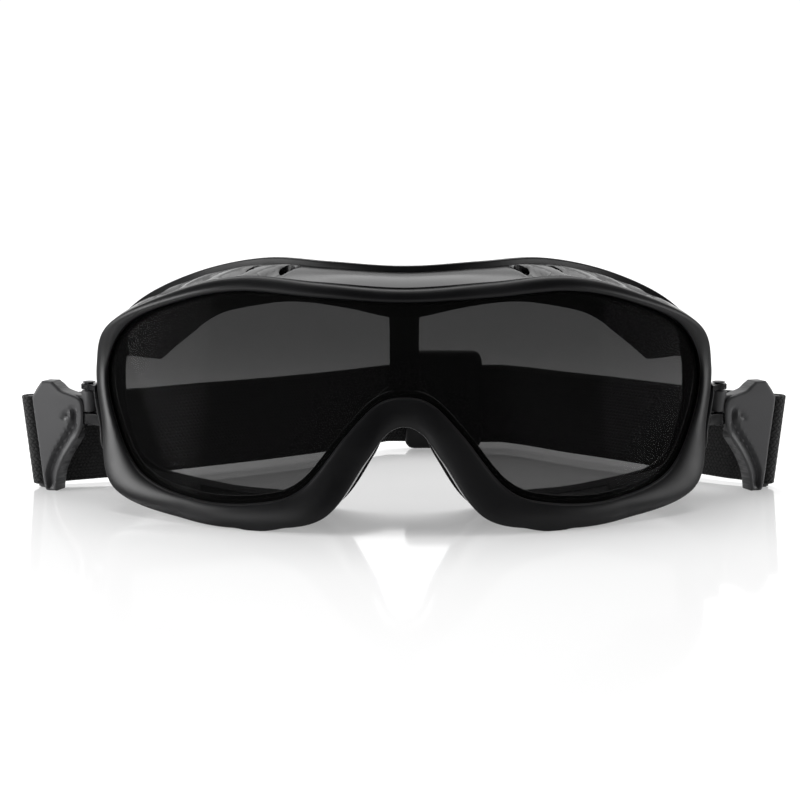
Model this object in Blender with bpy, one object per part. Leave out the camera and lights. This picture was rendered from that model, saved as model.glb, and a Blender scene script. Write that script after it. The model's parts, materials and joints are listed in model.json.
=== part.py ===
"""Motorcycle goggles of the over-the-glasses kind: leaning one-piece smoked lens, rounded rim, vented
housing, rear face frame with foam, hinged strap clips and an elastic strap with a slider.
Written in millimetres and built in metres. +X is the wearer's left, -Y the front, +Z up."""

import math

import bmesh
import bpy
from mathutils import Matrix, Vector

MM = 0.001
DEPTH_CENTRE = 63.983

# lens: part of a cylinder about a vertical line, leaning backwards
LENS_RADIUS = 105.0
LENS_RAKE = 0.33
LENS_FRONT_AT = 35.0
LENS_SETBACK = 1.9
LENS_THICKNESS = 1.8
LENS_UNDER_LIP = 0.8

# face side: a saddle that deepens towards the temples and leans with the face
FACE_DEPTH = 23.0
FACE_SWEEP = 33.0
FACE_WIDTH = 46.0
FACE_POWER = 2.5
FACE_RAKE = 0.12
FACE_TOP = 58.0

WALL = 1.8
WALL_BULGE = 0.5
FLANGE_LIP = 1.5
LIP_SETBACK = 1.6
SKIRT_LENGTH = 1.0
SKIRT_SHARE = 0.38
SEAM = 0.4
GASKET_FRONT = 4.0
GASKET_BACK = 4.9
SHELF_FRONT = 5.2
SHELF_BACK = 6.6
SHELF_IN = 1.2
PLATE_THICKNESS = 1.8
SEAT_GAP = 0.35
FOAM_THICKNESS = 7.0
LINING_THICKNESS = 0.8
GAP = 0.3

# half outlines seen from the front, top centre to nose arch
SIGHT_EDGE = [(0, 56.3), (22, 57.4), (43, 58.6), (60, 55.2), (75, 48.2), (81, 37), (78.3, 24),
              (69.5, 11), (53, 6.2), (36, 6.9), (25.3, 11), (14.8, 23.5), (7, 31.3), (0, 33.2)]
RIM_EDGE = [(0, 59.4), (22, 60.8), (42, 62.2), (61, 57.8), (80.8, 48.2), (84.9, 36.5), (82.4, 22.5),
            (77.4, 6.2), (55, 0.75), (36, 0.6), (20, 3.9), (9.6, 17.4), (4.6, 23.9), (0, 25.9)]
FLANGE_EDGE = [(0, 65), (20, 66), (38, 66.4), (58, 61.8), (75, 53.2), (84.3, 40.5), (83, 22),
               (74.5, 5.2), (56, 0.8), (37, 0.4), (18.5, 2.6), (8, 16), (3.8, 25.5), (0, 28.3)]
FOAM_OPENING = [(0, 54.5), (21, 56.3), (42, 55), (59.5, 46.5), (67.5, 39.4), (78.6, 39.4), (79.8, 27),
                (77.4, 13.2), (70.3, 6.4), (51, 2.9), (36, 2.9), (26.4, 4.8), (11.5, 21), (0, 33.5)]
EYE_OPENING = [(3.8, 50.6), (4.7, 51.9), (14, 53.9), (24, 55.1), (32, 55), (41.6, 53.3), (49.2, 51.3),
               (54.3, 48.6), (58.1, 45.6), (63.4, 41.4), (67.1, 38.2), (68.2, 37.8), (72.5, 38.1),
               (76.7, 38.5), (77.7, 37.4), (77.9, 31), (77.2, 24), (75, 15.9), (72.6, 11.2), (67.5, 7.5),
               (58, 4.1), (49, 3), (37, 3), (28.5, 5.2), (12.5, 22.5), (7.5, 31), (3.8, 37.2)]

# vents: distance from the centre line, share of the wall's depth, half sizes
TOP_VENTS = [31.5, 41.5, 51.0, 60.0, 68.0]
BOTTOM_VENTS = [57.0, 67.0, 74.0]
SIDE_VENT_HEIGHT = 34.0
VENT_FOAM = (0.55, 0.86)

# strap clip (outrigger) and its upright hinge
HINGE = (88.2, 53.2)
CLIP_ANGLE = 18.0
CLIP_HALF_THICKNESS = 2.5
CLIP_LEAN = 0.12
CLIP_OUTLINE = [(2.9, 28.0), (6.9, 28.4), (10.5, 31.2), (14.1, 30.8), (16.2, 27.6), (16.7, 25.7),
                (13.8, 1.6), (12.4, 0.0), (9.9, 0.0), (9.2, 4.4), (8.2, 7.2), (6.6, 10.2), (4.1, 14.1),
                (3.0, 17.4), (2.9, 22.0)]
KNUCKLE_RADIUS = 2.2
LUG_ROOT = 5.5
PIN_RADIUS = 1.2
PIN_CLEARANCE = 0.05
KNUCKLE = (22.9, 28.9)
LOWER_LUG = (19.4, 22.6)
UPPER_LUG = (29.2, 31.6)
MOUNT_SPAN = (31.4, 13.0)
MOUNT_THICKNESS = 2.4
MOUNT_ROWS = 6
BAR_RADIUS = 1.3
BAR_TOP = 26.2
BRIDGE = (0.0, 0.75)

# strap: 25.4 mm webbing
WEB_WIDTH = 25.4
WEB_THICKNESS = 1.2
WEB_GAP = 0.3
FOLD_FOOT = 1.05
BACK_FOOT = 2.2
STRAP_HEADING = {-1: 15.0, 1: 30.0}
LEG_LENGTH = {-1: 31.0, 1: 15.0}
RUN_DEPTH = 126.0
LEFT_PATH = [(-67, 75.6), (-43.4, 91.4), (-25, 106.5), (-13, 118.6), (-7.5, 124.3)]
RIGHT_PATH = [(84, 77.2), (73, 86), (61.5, 96.5), (50, 108), (41, 118.4), (34.5, 124.4)]
RUN_LEFT = -5.0
RUN_RIGHT = 31.5
SLIDER_CENTRE = 13.0
SLIDER_WIDTH = 25.0
SLIDER_FOOT = 0.4
SLIDER_TOP = 32.2
SLIDER_FACE = 122.4
SLIDER_BACK = 129.6
SLIDER_WALL = 1.9
SLIDER_CORNER = 3.0

FOOT_X = 36.0
FOOT_FRONT = 0.9
FOOT_SIZE = (8.0, 2.0, 1.4)
FOOT_SLOPE = 0.36
RING_STEPS = 3
SIDES = 24


# ---------------------------------------------------------------- outlines and surfaces

def spline(points, steps, closed):
    """Smooth curve through points; closed curves come back without a repeated end."""
    n = len(points)
    out = []
    for i in range(n if closed else n - 1):
        p = [points[(i + k) % n] if closed else points[min(max(i + k, 0), n - 1)] for k in (-1, 0, 1, 2)]
        for s in range(steps):
            t = s / steps
            w = (0.5 * (-t + 2 * t * t - t ** 3), 0.5 * (2 - 5 * t * t + 3 * t ** 3),
                 0.5 * (t + 4 * t * t - 3 * t ** 3), 0.5 * (t ** 3 - t * t))
            out.append(tuple(sum(w[k] * p[k][a] for k in range(4)) for a in range(len(p[0]))))
    if not closed:
        out.append(tuple(points[-1]))
    return out


def whole(half):
    """Closed outline from its right half."""
    return list(half) + [(-x, z) for x, z in reversed(half[1:-1])]


def inward(outline):
    """Unit vector into the outline at each of its points."""
    n = len(outline)
    out = []
    for i in range(n):
        dx = outline[(i + 1) % n][0] - outline[i - 1][0]
        dz = outline[(i + 1) % n][1] - outline[i - 1][1]
        length = math.hypot(dx, dz)
        out.append((dz / length, -dx / length))
    return out


def offset(outline, distance):
    """Outline moved inwards by distance, or outwards when it is negative."""
    return [(p[0] + distance * v[0], p[1] + distance * v[1]) for p, v in zip(outline, inward(outline))]


def sag(x):
    return LENS_RADIUS - math.sqrt(LENS_RADIUS ** 2 - x * x)


def lens_y(x, z):
    return sag(x) - sag(LENS_FRONT_AT) + LENS_RAKE * z


def face_sweep(x):
    return FACE_SWEEP * (1 - math.exp(-((abs(x) / FACE_WIDTH) ** FACE_POWER)))


def face_y(x, z):
    return FACE_DEPTH + face_sweep(x) + FACE_RAKE * (z - FACE_TOP)


def mix(p, q, t):
    return tuple(a + t * (b - a) for a, b in zip(p, q))


class Shell:
    """The matched rings that the rim, housing and their fittings follow."""

    def __init__(self, steps):
        self.sight = spline(whole(SIGHT_EDGE), steps, True)
        self.edge = spline(whole(RIM_EDGE), steps, True)
        self.rear = offset(spline(whole(FLANGE_EDGE), steps, True), FLANGE_LIP)
        self.into = inward(self.edge)
        self.count = len(self.sight)
        self.a = [(x, lens_y(x, z), z) for x, z in self.sight]
        self.b = []
        for (x, z), a in zip(self.edge, self.a):
            rise = lens_y(x, z) - a[1]
            self.b.append((x, a[1] + 1.5 + (0.35 if rise > 0 else 1.0) * rise, z))
        self.c = [(x, face_y(x, z) - SEAT_GAP, z) for x, z in self.rear]

    def wall(self, i, g, depth=0.0):
        """Point on the wall, from the rim at g 0 to the flange at g 1, sunk inwards by depth."""
        p = mix(self.b[i], self.c[i], g)
        d = depth - WALL_BULGE * math.sin(math.pi * g) * (1 if p[2] > 8 else max(p[2], 0) / 8)
        return (p[0] + d * self.into[i][0], p[1], p[2] + d * self.into[i][1])

    def skirt(self, i):
        """Share of the wall that the rim's skirt covers."""
        level = min(self.a[i][1], self.seat(i)[1]) + SHELF_FRONT - SEAM - 0.2 - self.b[i][1]
        return min(SKIRT_SHARE, SKIRT_LENGTH / math.dist(self.b[i], self.c[i]),
                   level / (self.c[i][1] - self.b[i][1]))

    def seam(self, i):
        return self.skirt(i) + SEAM / math.dist(self.b[i], self.c[i])

    def shelf(self, i):
        """Share of the wall at the back of the lens shelf."""
        level = max(self.a[i][1], self.seat(i)[1]) + SHELF_BACK
        g = (level - self.b[i][1]) / (self.c[i][1] - self.b[i][1])
        return min(max(g, self.seam(i) + 0.1), 0.82)

    def seat(self, i):
        """Outer edge of the gasket's seat."""
        return self.out_of_sight(i, LENS_UNDER_LIP + 0.1)

    def out_of_sight(self, i, distance):
        """Point this far outwards of the sight edge, on the lens surface."""
        a, b = self.sight[i], self.edge[i]
        t = distance / math.dist(a, b)
        x, z = mix(a, b, t)
        return (x, lens_y(x, z), z)


# ---------------------------------------------------------------- meshes

def metres(p):
    return Vector((p[0] * MM, (p[1] - DEPTH_CENTRE) * MM, p[2] * MM))


def finish(name, bm, collection, material=None):
    bmesh.ops.recalc_face_normals(bm, faces=bm.faces)
    mesh = bpy.data.meshes.new(name)
    bm.to_mesh(mesh)
    bm.free()
    obj = bpy.data.objects.new(name, mesh)
    collection.objects.link(obj)
    if material is not None:
        mesh.materials.append(material)
    else:
        obj.hide_render = True
        obj.display_type = "WIRE"
    return obj


def loft(bm, sections, closed):
    """Quads between matching sections; an open loft gets a face at each end."""
    rows = [[bm.verts.new(metres(p)) for p in s] for s in sections]
    n = len(rows[0])
    for i in range(len(rows) if closed else len(rows) - 1):
        a, b = rows[i], rows[(i + 1) % len(rows)]
        for k in range(n):
            bm.faces.new((a[k], a[(k + 1) % n], b[(k + 1) % n], b[k]))
    if not closed:
        bm.faces.new(rows[0])
        bm.faces.new(list(reversed(rows[-1])))


def lofted(name, sections, closed, collection, material=None):
    bm = bmesh.new()
    loft(bm, sections, closed)
    return finish(name, bm, collection, material)


def prism_y(outline, y0, y1):
    return [[(x, y0, z) for x, z in outline], [(x, y1, z) for x, z in outline]]


def prism_z(outline, z0, z1):
    return [[(x, y, z0) for x, y in outline], [(x, y, z1) for x, y in outline]]


def circle(cx, cy, r, sides=SIDES):
    return [(cx + r * math.cos(2 * math.pi * k / sides), cy + r * math.sin(2 * math.pi * k / sides))
            for k in range(sides)]


def slab(front, back, rake, z0=-6.0, z1=76.0):
    """Curved sheet between two plan lines, leaning by rake."""
    lines = [(x, y) for x, y in front] + [(x, y) for x, y in reversed(back)]
    return [[(x, y + rake * z, z) for x, y in lines] for z in (z0, z1)]


def face_line(distance):
    """The face side's plan line, moved straight back from itself by distance."""
    xs = [-90 + 3.0 * k for k in range(61)]
    out = []
    for x in xs:
        slope = (face_sweep(x + 0.05) - face_sweep(x - 0.05)) / 0.1
        n = math.hypot(1, slope)
        depth = FACE_DEPTH + face_sweep(x) - FACE_RAKE * FACE_TOP
        out.append((x - distance * slope / n, depth + distance / n))
    return out


def boolean(obj, other, operation):
    m = obj.modifiers.new(operation.lower(), "BOOLEAN")
    m.operation = operation
    m.solver = "EXACT"
    m.object = other


def box_sections(x0, x1, y0, y1, z0, z1):
    return prism_z([(x0, y0), (x1, y0), (x1, y1), (x0, y1)], z0, z1)


def oval_cutter(bm, centre, axis, along, half_along, half_across, reach):
    """Oval plug through a wall: axis out of the wall, along its long way."""
    axis = Vector(axis).normalized()
    along = (Vector(along) - axis * Vector(along).dot(axis)).normalized()
    across = axis.cross(along)
    sections = []
    for d in (-reach, reach):
        sections.append([tuple(Vector(centre) + axis * d + along * half_along * math.cos(a)
                               + across * half_across * math.sin(a))
                         for a in [2 * math.pi * k / 12 for k in range(12)]])
    loft(bm, sections, False)


# ---------------------------------------------------------------- front shell

def build_rim(shell, parts, cutters, material):
    sections = []
    for i in range(shell.count):
        a, b = shell.a[i], shell.b[i]
        front = [(0.0, 0.4), (0.06, -0.2), (0.25, -0.7), (0.55, -0.9), (0.82, -0.7), (0.96, -0.3)]
        ring = [(p[0], p[1] + d, p[2]) for p, d in [(mix(a, b, f), d) for f, d in front]]
        ring.append((b[0], b[1] + 0.4, b[2]))
        ring.append(shell.wall(i, shell.skirt(i)))
        inside = shell.wall(i, shell.skirt(i), WALL)
        ring.append(inside)
        x, y, z = inside
        ring.append((x, min(lens_y(x, z) + LIP_SETBACK, y - 0.3), z))
        ring.append((a[0], a[1] + LIP_SETBACK, a[2]))
        sections.append(ring)
    rim = lofted("front_rim", sections, True, parts, material)
    for side in (-1, 1):
        w, d, h = FOOT_SIZE
        swing = FOOT_SLOPE * w / 2
        plan = ((-w / 2, -swing), (w / 2, swing), (w / 2, swing + d), (-w / 2, d - swing))
        land = [(side * (FOOT_X + x), FOOT_FRONT + y) for x, y in plan]
        foot = lofted(f"foot_{side}", prism_z(land, 0.0, h), False, cutters)
        boolean(rim, foot, "UNION")
    return rim


def build_housing(shell, parts, cutters, material):
    sections = []
    for i in range(shell.count):
        g0, gs = shell.seam(i), shell.shelf(i)
        mid = (gs + 1) / 2
        x, y, z = shell.out_of_sight(i, -SHELF_IN)
        seat = shell.seat(i)
        back = shell.wall(i, gs, WALL)
        sections.append([shell.wall(i, g0), shell.wall(i, mid), shell.c[i],
                         shell.wall(i, 1, WALL), shell.wall(i, mid, WALL),
                         back,
                         (x, y + SHELF_BACK, z), (x, y + SHELF_FRONT, z),
                         (seat[0], seat[1] + SHELF_FRONT, seat[2])])
    housing = lofted("housing", sections, True, parts, material)
    bm = bmesh.new()
    for i, along, across, g in vent_places(shell):
        centre = shell.wall(i[0], g)
        nxt = shell.wall(i[0] + 1, g)
        centre = mix(centre, nxt, i[1])
        ahead = Vector(shell.wall(i[0] + 1, g)) - Vector(shell.wall(i[0], g))
        into = shell.into[i[0]]
        oval_cutter(bm, centre, (into[0], 0, into[1]), ahead, along, across, 2.6)
    vents = finish("vent_cuts", bm, cutters)
    boolean(housing, vents, "DIFFERENCE")
    return housing


def station(shell, key, value, low, high):
    """Ring position between two stations where the wall's middle passes the value."""
    for i in range(low, min(high, shell.count - 1)):
        p, q = shell.wall(i, 0.55)[key], shell.wall(i + 1, 0.55)[key]
        if (p - value) * (q - value) <= 0 and p != q:
            return i, (value - p) / (q - p)
    raise ValueError("no such place on the ring")


def vent_places(shell):
    """Ring position, half sizes and share of the wall's depth of every vent."""
    n = shell.count
    quarter = int(5 * RING_STEPS)
    top_right, bottom_right = (0, quarter), (quarter, quarter + 5 * RING_STEPS)
    top_left, bottom_left = (n - quarter, n), (n - quarter - 5 * RING_STEPS, n - quarter)
    places = []
    for side, top, bottom in ((1, top_right, bottom_right), (-1, top_left, bottom_left)):
        for x in TOP_VENTS:
            places.append((station(shell, 0, side * x, *top), 2.4, 2.5, 0.62))
        for x in BOTTOM_VENTS:
            places.append((station(shell, 0, side * x, *bottom), 1.6, 2.6, 0.62))
        span = (quarter - 3, quarter + 4) if side > 0 else (n - quarter - 4, n - quarter + 3)
        places.append((station(shell, 2, SIDE_VENT_HEIGHT, *span), 2.0, 0.9, 0.72))
    return places


def strip(shell, low, high, g0, g1, near, far):
    """Pad that follows the wall between two ring stations, from near to far inside it."""
    return [[shell.wall(i, g0, near), shell.wall(i, g1, near), shell.wall(i, g1, far), shell.wall(i, g0, far)]
            for i in range(low, high + 1)]


def build_vent_foams(shell, parts, material):
    n, s = shell.count, RING_STEPS
    g0, g1 = VENT_FOAM
    near = WALL + GAP + 0.1
    spans = {"vent_foam_top_right": (int(1.3 * s), 4 * s - 1),
             "vent_foam_top_left": (n - 4 * s + 1, n - int(1.3 * s)),
             "vent_foam_bottom_right": (int(6.7 * s), 8 * s),
             "vent_foam_bottom_left": (n - 8 * s, n - int(6.7 * s))}
    for name, (low, high) in spans.items():
        lofted(name, strip(shell, low, high, g0, g1, near, near + 2.0), False, parts, material)


def build_lens(shell, parts, cutters, material):
    xs = [-88 + 4.0 * k for k in range(45)]
    line = [(x, lens_y(x, 0) + LENS_SETBACK) for x in xs]
    back = [(x, y + LENS_THICKNESS) for x, y in line]
    lens = lofted("lens", slab(line, back, LENS_RAKE), False, parts, material)
    outline = [shell.out_of_sight(i, LENS_UNDER_LIP) for i in range(shell.count)]
    trim = lofted("lens_trim", prism_y([(x, z) for x, _, z in outline], -20, 90), False, cutters)
    boolean(lens, trim, "INTERSECT")
    return lens


def build_gasket(shell, parts, material):
    sections = []
    for i in range(shell.count):
        p, q = shell.out_of_sight(i, -0.3), shell.out_of_sight(i, LENS_UNDER_LIP)
        sections.append([(p[0], p[1] + GASKET_FRONT, p[2]), (q[0], q[1] + GASKET_FRONT, q[2]),
                         (q[0], q[1] + GASKET_BACK, q[2]), (p[0], p[1] + GASKET_BACK, p[2])])
    return lofted("lens_gasket", sections, True, parts, material)


# ---------------------------------------------------------------- face side

def build_face_layers(parts, cutters, materials):
    outer = spline(whole(FLANGE_EDGE), RING_STEPS, True)
    layers = [("rear_frame", GAP, PLATE_THICKNESS, 0.0, materials["frame"]),
              ("face_foam", 2 * GAP + PLATE_THICKNESS, FOAM_THICKNESS, 0.3, materials["foam"]),
              ("foam_lining", 3 * GAP + PLATE_THICKNESS + FOAM_THICKNESS, LINING_THICKNESS, 0.6,
               materials["lining"])]
    eye = spline(EYE_OPENING, RING_STEPS, True)
    ring = spline(whole(FOAM_OPENING), RING_STEPS, True)
    openings = {"eyes": [lofted("eye_cut_right", prism_y(eye, -5, 95), False, cutters),
                         lofted("eye_cut_left", prism_y([(-x, z) for x, z in eye], -5, 95), False, cutters)],
                "ring": [lofted("foam_cut", prism_y(ring, -5, 95), False, cutters)]}
    for name, start, thickness, inset, material in layers:
        sheet = slab(face_line(start), face_line(start + thickness), FACE_RAKE)
        obj = lofted(name, sheet, False, parts, material)
        trim = lofted(name + "_trim", prism_y(offset(outer, inset), -5, 95), False, cutters)
        boolean(obj, trim, "INTERSECT")
        for cutter in openings["eyes" if name == "rear_frame" else "ring"]:
            boolean(obj, cutter, "DIFFERENCE")


# ---------------------------------------------------------------- hinges and clips

def clip_frame(side):
    """Unit vectors of a clip in plan: along it from the hinge, and out of its face."""
    a = math.radians(CLIP_ANGLE)
    return (side * math.cos(a), math.sin(a)), (side * math.sin(a), -math.cos(a))


def clip_point(side, s, t):
    along, out = clip_frame(side)
    return (side * HINGE[0] + s * along[0] + t * out[0], HINGE[1] + s * along[1] + t * out[1])


def slot_edge(z):
    """How far the clip's strap edge is from the hinge at height z."""
    return 16.7 - CLIP_LEAN * (25.7 - z)


def bar_centre(z):
    return slot_edge(z) + 0.35 + WEB_THICKNESS + 0.3 + BAR_RADIUS, bar_depth()


def bar_depth():
    return -CLIP_HALF_THICKNESS + 0.2


def build_mount(shell, side, parts, cutters, material):
    name = "left" if side < 0 else "right"
    n = shell.count
    span = (4 * RING_STEPS, 8 * RING_STEPS) if side > 0 else (n - 8 * RING_STEPS, n - 4 * RING_STEPS)
    far = -MOUNT_THICKNESS - GAP
    pad = []
    for k in range(MOUNT_ROWS):
        height = MOUNT_SPAN[0] + (MOUNT_SPAN[1] - MOUNT_SPAN[0]) * k / (MOUNT_ROWS - 1)
        i, f = station(shell, 2, height, *span)
        pad.append([mix(shell.wall(i, g, d), shell.wall(i + 1, g, d), f)
                    for g, d in ((0.5, -GAP), (0.88, -GAP), (0.88, far), (0.5, far))])
    mount = lofted(f"{name}_hinge_mount", pad, False, parts, material)
    x, y = side * HINGE[0], HINGE[1]
    for label, (z0, z1), reach in (("lower", LOWER_LUG, 83.9), ("upper", UPPER_LUG, 85.5)):
        inner = side * reach
        arc = [(x + side * KNUCKLE_RADIUS * math.cos(a), y + KNUCKLE_RADIUS * math.sin(a))
               for a in [math.pi * (k / 12 - 0.5) for k in range(13)]]
        outline = arc + [(inner, y + KNUCKLE_RADIUS), (inner, y - LUG_ROOT)]
        lug = lofted(f"{name}_{label}_lug", prism_z(outline, z0, z1), False, cutters)
        boolean(mount, lug, "UNION")
    hole = circle(x, y, PIN_RADIUS + PIN_CLEARANCE)
    bore = lofted(f"{name}_mount_bore", prism_z(hole, 10, 40), False, cutters)
    boolean(mount, bore, "DIFFERENCE")
    return mount


def build_pin(side, parts, material):
    x, y = side * HINGE[0], HINGE[1]
    name = ("left" if side < 0 else "right") + "_hinge_pin"
    levels = [(19.0, PIN_RADIUS), (UPPER_LUG[1] + GAP, PIN_RADIUS), (UPPER_LUG[1] + GAP, 1.9), (32.6, 1.9)]
    sections = [[(px, py, z) for px, py in circle(x, y, r)] for z, r in levels]
    return lofted(name, sections, False, parts, material)


def build_clip(side, parts, cutters, material):
    name = "left" if side < 0 else "right"
    half = CLIP_HALF_THICKNESS
    plate = []
    for t in (-half, half):
        plate.append([clip_point(side, s, t) + (z,) for s, z in CLIP_OUTLINE])
    clip = lofted(f"{name}_outrigger", plate, False, parts, material)
    x, y = side * HINGE[0], HINGE[1]
    knuckle = lofted(f"{name}_knuckle", prism_z(circle(x, y, KNUCKLE_RADIUS), *KNUCKLE), False, cutters)
    link = lofted(f"{name}_link", prism_z([clip_point(side, s, t) for s, t in
                                           ((0.0, -1.9), (4.5, -1.9), (4.5, 1.9), (0.0, 1.9))],
                                          KNUCKLE[0] + 0.2, KNUCKLE[1] - 1.2), False, cutters)
    bar = []
    for z in (BRIDGE[0] + 0.3, BAR_TOP):
        s, t = bar_centre(z)
        bar.append([clip_point(side, s + ds, t + dt) + (z,) for ds, dt in circle(0, 0, BAR_RADIUS, 16)])
    bar = lofted(f"{name}_bar", bar, False, cutters)
    s, t = bar_centre(BRIDGE[1])
    arm = [clip_point(side, ps, pt) for ps, pt in ((11.2, t - 0.2), (11.2, t + 1.4), (s, t + 1.2),
                                                   (s + 1.2, t), (s, t - 1.2))]
    arm = lofted(f"{name}_bridge", prism_z(arm, *BRIDGE), False, cutters)
    for piece in (link, knuckle, arm, bar):
        boolean(clip, piece, "UNION")
    hole = circle(x, y, PIN_RADIUS + PIN_CLEARANCE)
    bore = lofted(f"{name}_clip_bore", prism_z(hole, 15, 40), False, cutters)
    boolean(clip, bore, "DIFFERENCE")
    return clip


# ---------------------------------------------------------------- strap and slider

def fold_points(side, z):
    """Webbing centre line at a clip: sewn leg, turn round the bar, then the start of the long leg."""
    along, out = clip_frame(side)
    s0, t0 = bar_centre(z)
    r = BAR_RADIUS + 0.3 + WEB_THICKNESS / 2
    h = math.radians(STRAP_HEADING[side])
    v = (-side * math.cos(h), math.sin(h))
    vs, vt = v[0] * along[0] + v[1] * along[1], v[0] * out[0] + v[1] * out[1]
    leave = math.atan2(vs, -vt)
    turn = [(s0 + r * math.cos(a), t0 + r * math.sin(a))
            for a in [math.pi + (leave - math.pi) * k / 12 for k in range(13)]]
    start = turn[-1]
    pitch = WEB_THICKNESS + WEB_GAP
    leg_length = LEG_LENGTH[side]
    leg = [(start[0] + q * vs + pitch * vt, start[1] + q * vt - pitch * vs)
           for q in (leg_length, 0.55 * leg_length + 3.5, 7.5)]
    neck = (s0 - r - 0.25, t0 - 1.7)
    back = [(start[0] + q * vs, start[1] + q * vt) for q in (7.5, 0.55 * leg_length + 3.5, leg_length)]
    return [clip_point(side, s, t) for s, t in leg + [neck] + turn + back]


def web(name, low_path, high_path, feet, parts, material):
    """Strip of webbing between two matching plan lines, one for each edge."""
    sections = []
    n = len(low_path)
    for i in range(n):
        section = []
        for path, z in ((low_path, feet[i]), (high_path, feet[i] + WEB_WIDTH)):
            p, q = path[max(i - 1, 0)], path[min(i + 1, n - 1)]
            dx, dy = q[0] - p[0], q[1] - p[1]
            length = math.hypot(dx, dy)
            nx, ny = -dy / length * WEB_THICKNESS / 2, dx / length * WEB_THICKNESS / 2
            pair = [(path[i][0] + nx, path[i][1] + ny, z), (path[i][0] - nx, path[i][1] - ny, z)]
            section += pair if path is low_path else pair[::-1]
        sections.append(section)
    return lofted(name, sections, False, parts, material)


def foot_heights(path, side):
    """Lower edge of the webbing: lowest at the clip and level at the back."""
    out = []
    for x, y in path:
        reach = min(max((HINGE[0] + 16 - side * x) / 45, 0), 1)
        out.append(FOLD_FOOT + (BACK_FOOT - FOLD_FOOT) * reach * reach * (3 - 2 * reach))
    return out


def leaning(side, build):
    """The low and high edge lines of a strap half; only the fold at the clip leans."""
    middle = FOLD_FOOT + WEB_WIDTH / 2
    level = build(middle)
    lines = []
    for z in (FOLD_FOOT, FOLD_FOOT + WEB_WIDTH):
        tilted = build(z)
        line = []
        for p, q in zip(level, tilted):
            w = min(max((side * p[0] - 78) / 24, 0), 1)
            line.append(mix(p, q, w * w * (3 - 2 * w)))
        lines.append(line)
    return level, lines[0], lines[1]


def left_line(z):
    pitch = (WEB_THICKNESS + WEB_GAP) / 2
    run = [(x, RUN_DEPTH + pitch) for x in (RUN_LEFT, 1.0, 7.0, SLIDER_CENTRE - 0.15)]
    fold = fold_points(-1, z)
    return fold[:-1] + spline([fold[-1]] + LEFT_PATH + run, 3, False)


def right_line(z):
    """Both layers of the right half: slider to clip and back to the slider."""
    pitch = WEB_THICKNESS + WEB_GAP
    run = [(x, RUN_DEPTH) for x in (RUN_RIGHT, 25.0, 19.0, SLIDER_CENTRE + 0.15)]
    fold = fold_points(1, z)
    inner_leg, outer_leg = fold[0], fold[-1]
    meeting = mix(inner_leg, outer_leg, 0.5)
    centre = spline([meeting] + RIGHT_PATH + run, 3, False)
    sides = {1: [], -1: []}
    for i, (x, y) in enumerate(centre):
        p, q = centre[max(i - 1, 0)], centre[min(i + 1, len(centre) - 1)]
        dx, dy = q[0] - p[0], q[1] - p[1]
        length = math.hypot(dx, dy)
        for s in (1, -1):
            sides[s].append((x + s * dy / length * pitch / 2, y - s * dx / length * pitch / 2))
    outer, inner = sides[1], sides[-1]
    if math.dist(outer[0], outer_leg) > math.dist(inner[0], outer_leg):
        outer, inner = inner, outer
    return list(reversed(inner))[:-1] + fold[1:-1] + outer[1:]


def build_straps(parts, material):
    level, low, high = leaning(-1, left_line)
    web("strap_left", low, high, foot_heights(level, -1), parts, material)
    level, low, high = leaning(1, right_line)
    web("strap_right", low, high, foot_heights(level, 1), parts, material)


def rounded_rectangle(x0, x1, z0, z1, r, steps=4):
    out = []
    corners = ((x1 - r, z1 - r, 0), (x0 + r, z1 - r, 90), (x0 + r, z0 + r, 180), (x1 - r, z0 + r, 270))
    for cx, cz, start in corners:
        for k in range(steps + 1):
            a = math.radians(start + 90 * k / steps)
            out.append((cx + r * math.cos(a), cz + r * math.sin(a)))
    return out


def build_slider(parts, cutters, material):
    x0, x1 = SLIDER_CENTRE - SLIDER_WIDTH / 2, SLIDER_CENTRE + SLIDER_WIDTH / 2
    outline = rounded_rectangle(x0, x1, SLIDER_FOOT, SLIDER_TOP, SLIDER_CORNER)
    slider = lofted("strap_slider", prism_y(outline, SLIDER_FACE, SLIDER_BACK), False, parts, material)
    z0, z1 = BACK_FOOT - 0.45, BACK_FOOT + WEB_WIDTH + 0.45
    bm = bmesh.new()
    y0, y1 = SLIDER_FACE + SLIDER_WALL, SLIDER_BACK - SLIDER_WALL
    loft(bm, box_sections(x0 - 2, x1 + 2, y0, y1, z0, z1), False)
    boolean(slider, finish("slider_tunnel", bm, cutters), "DIFFERENCE")
    bm = bmesh.new()
    loft(bm, box_sections(SLIDER_CENTRE + 6.3, SLIDER_CENTRE + 7.7, SLIDER_FACE - 2, SLIDER_FACE + 3,
                          z0 + 1.2, z1 - 1.2), False)
    for side in (-1, 1):
        a, b = sorted((SLIDER_CENTRE + side * 1.6, SLIDER_CENTRE + side * 9.4))
        loft(bm, box_sections(a, b, SLIDER_BACK - 3, SLIDER_BACK + 2, z0 + 1.2, z1 - 1.2), False)
    boolean(slider, finish("slider_windows", bm, cutters), "DIFFERENCE")
    return slider


# ---------------------------------------------------------------- assembly

def material(name, colour, roughness, metallic=0.0, alpha=1.0):
    m = bpy.data.materials.new(name)
    m.use_nodes = True
    shader = m.node_tree.nodes["Principled BSDF"]
    shader.inputs["Base Color"].default_value = (*colour, 1.0)
    shader.inputs["Roughness"].default_value = roughness
    shader.inputs["Metallic"].default_value = metallic
    shader.inputs["Alpha"].default_value = alpha
    return m


def set_origin(obj, x, y, z):
    """Puts the object's origin on its joint axis without moving its shape."""
    p = metres((x, y, z))
    obj.data.transform(Matrix.Translation(-p))
    obj.location = p


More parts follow.
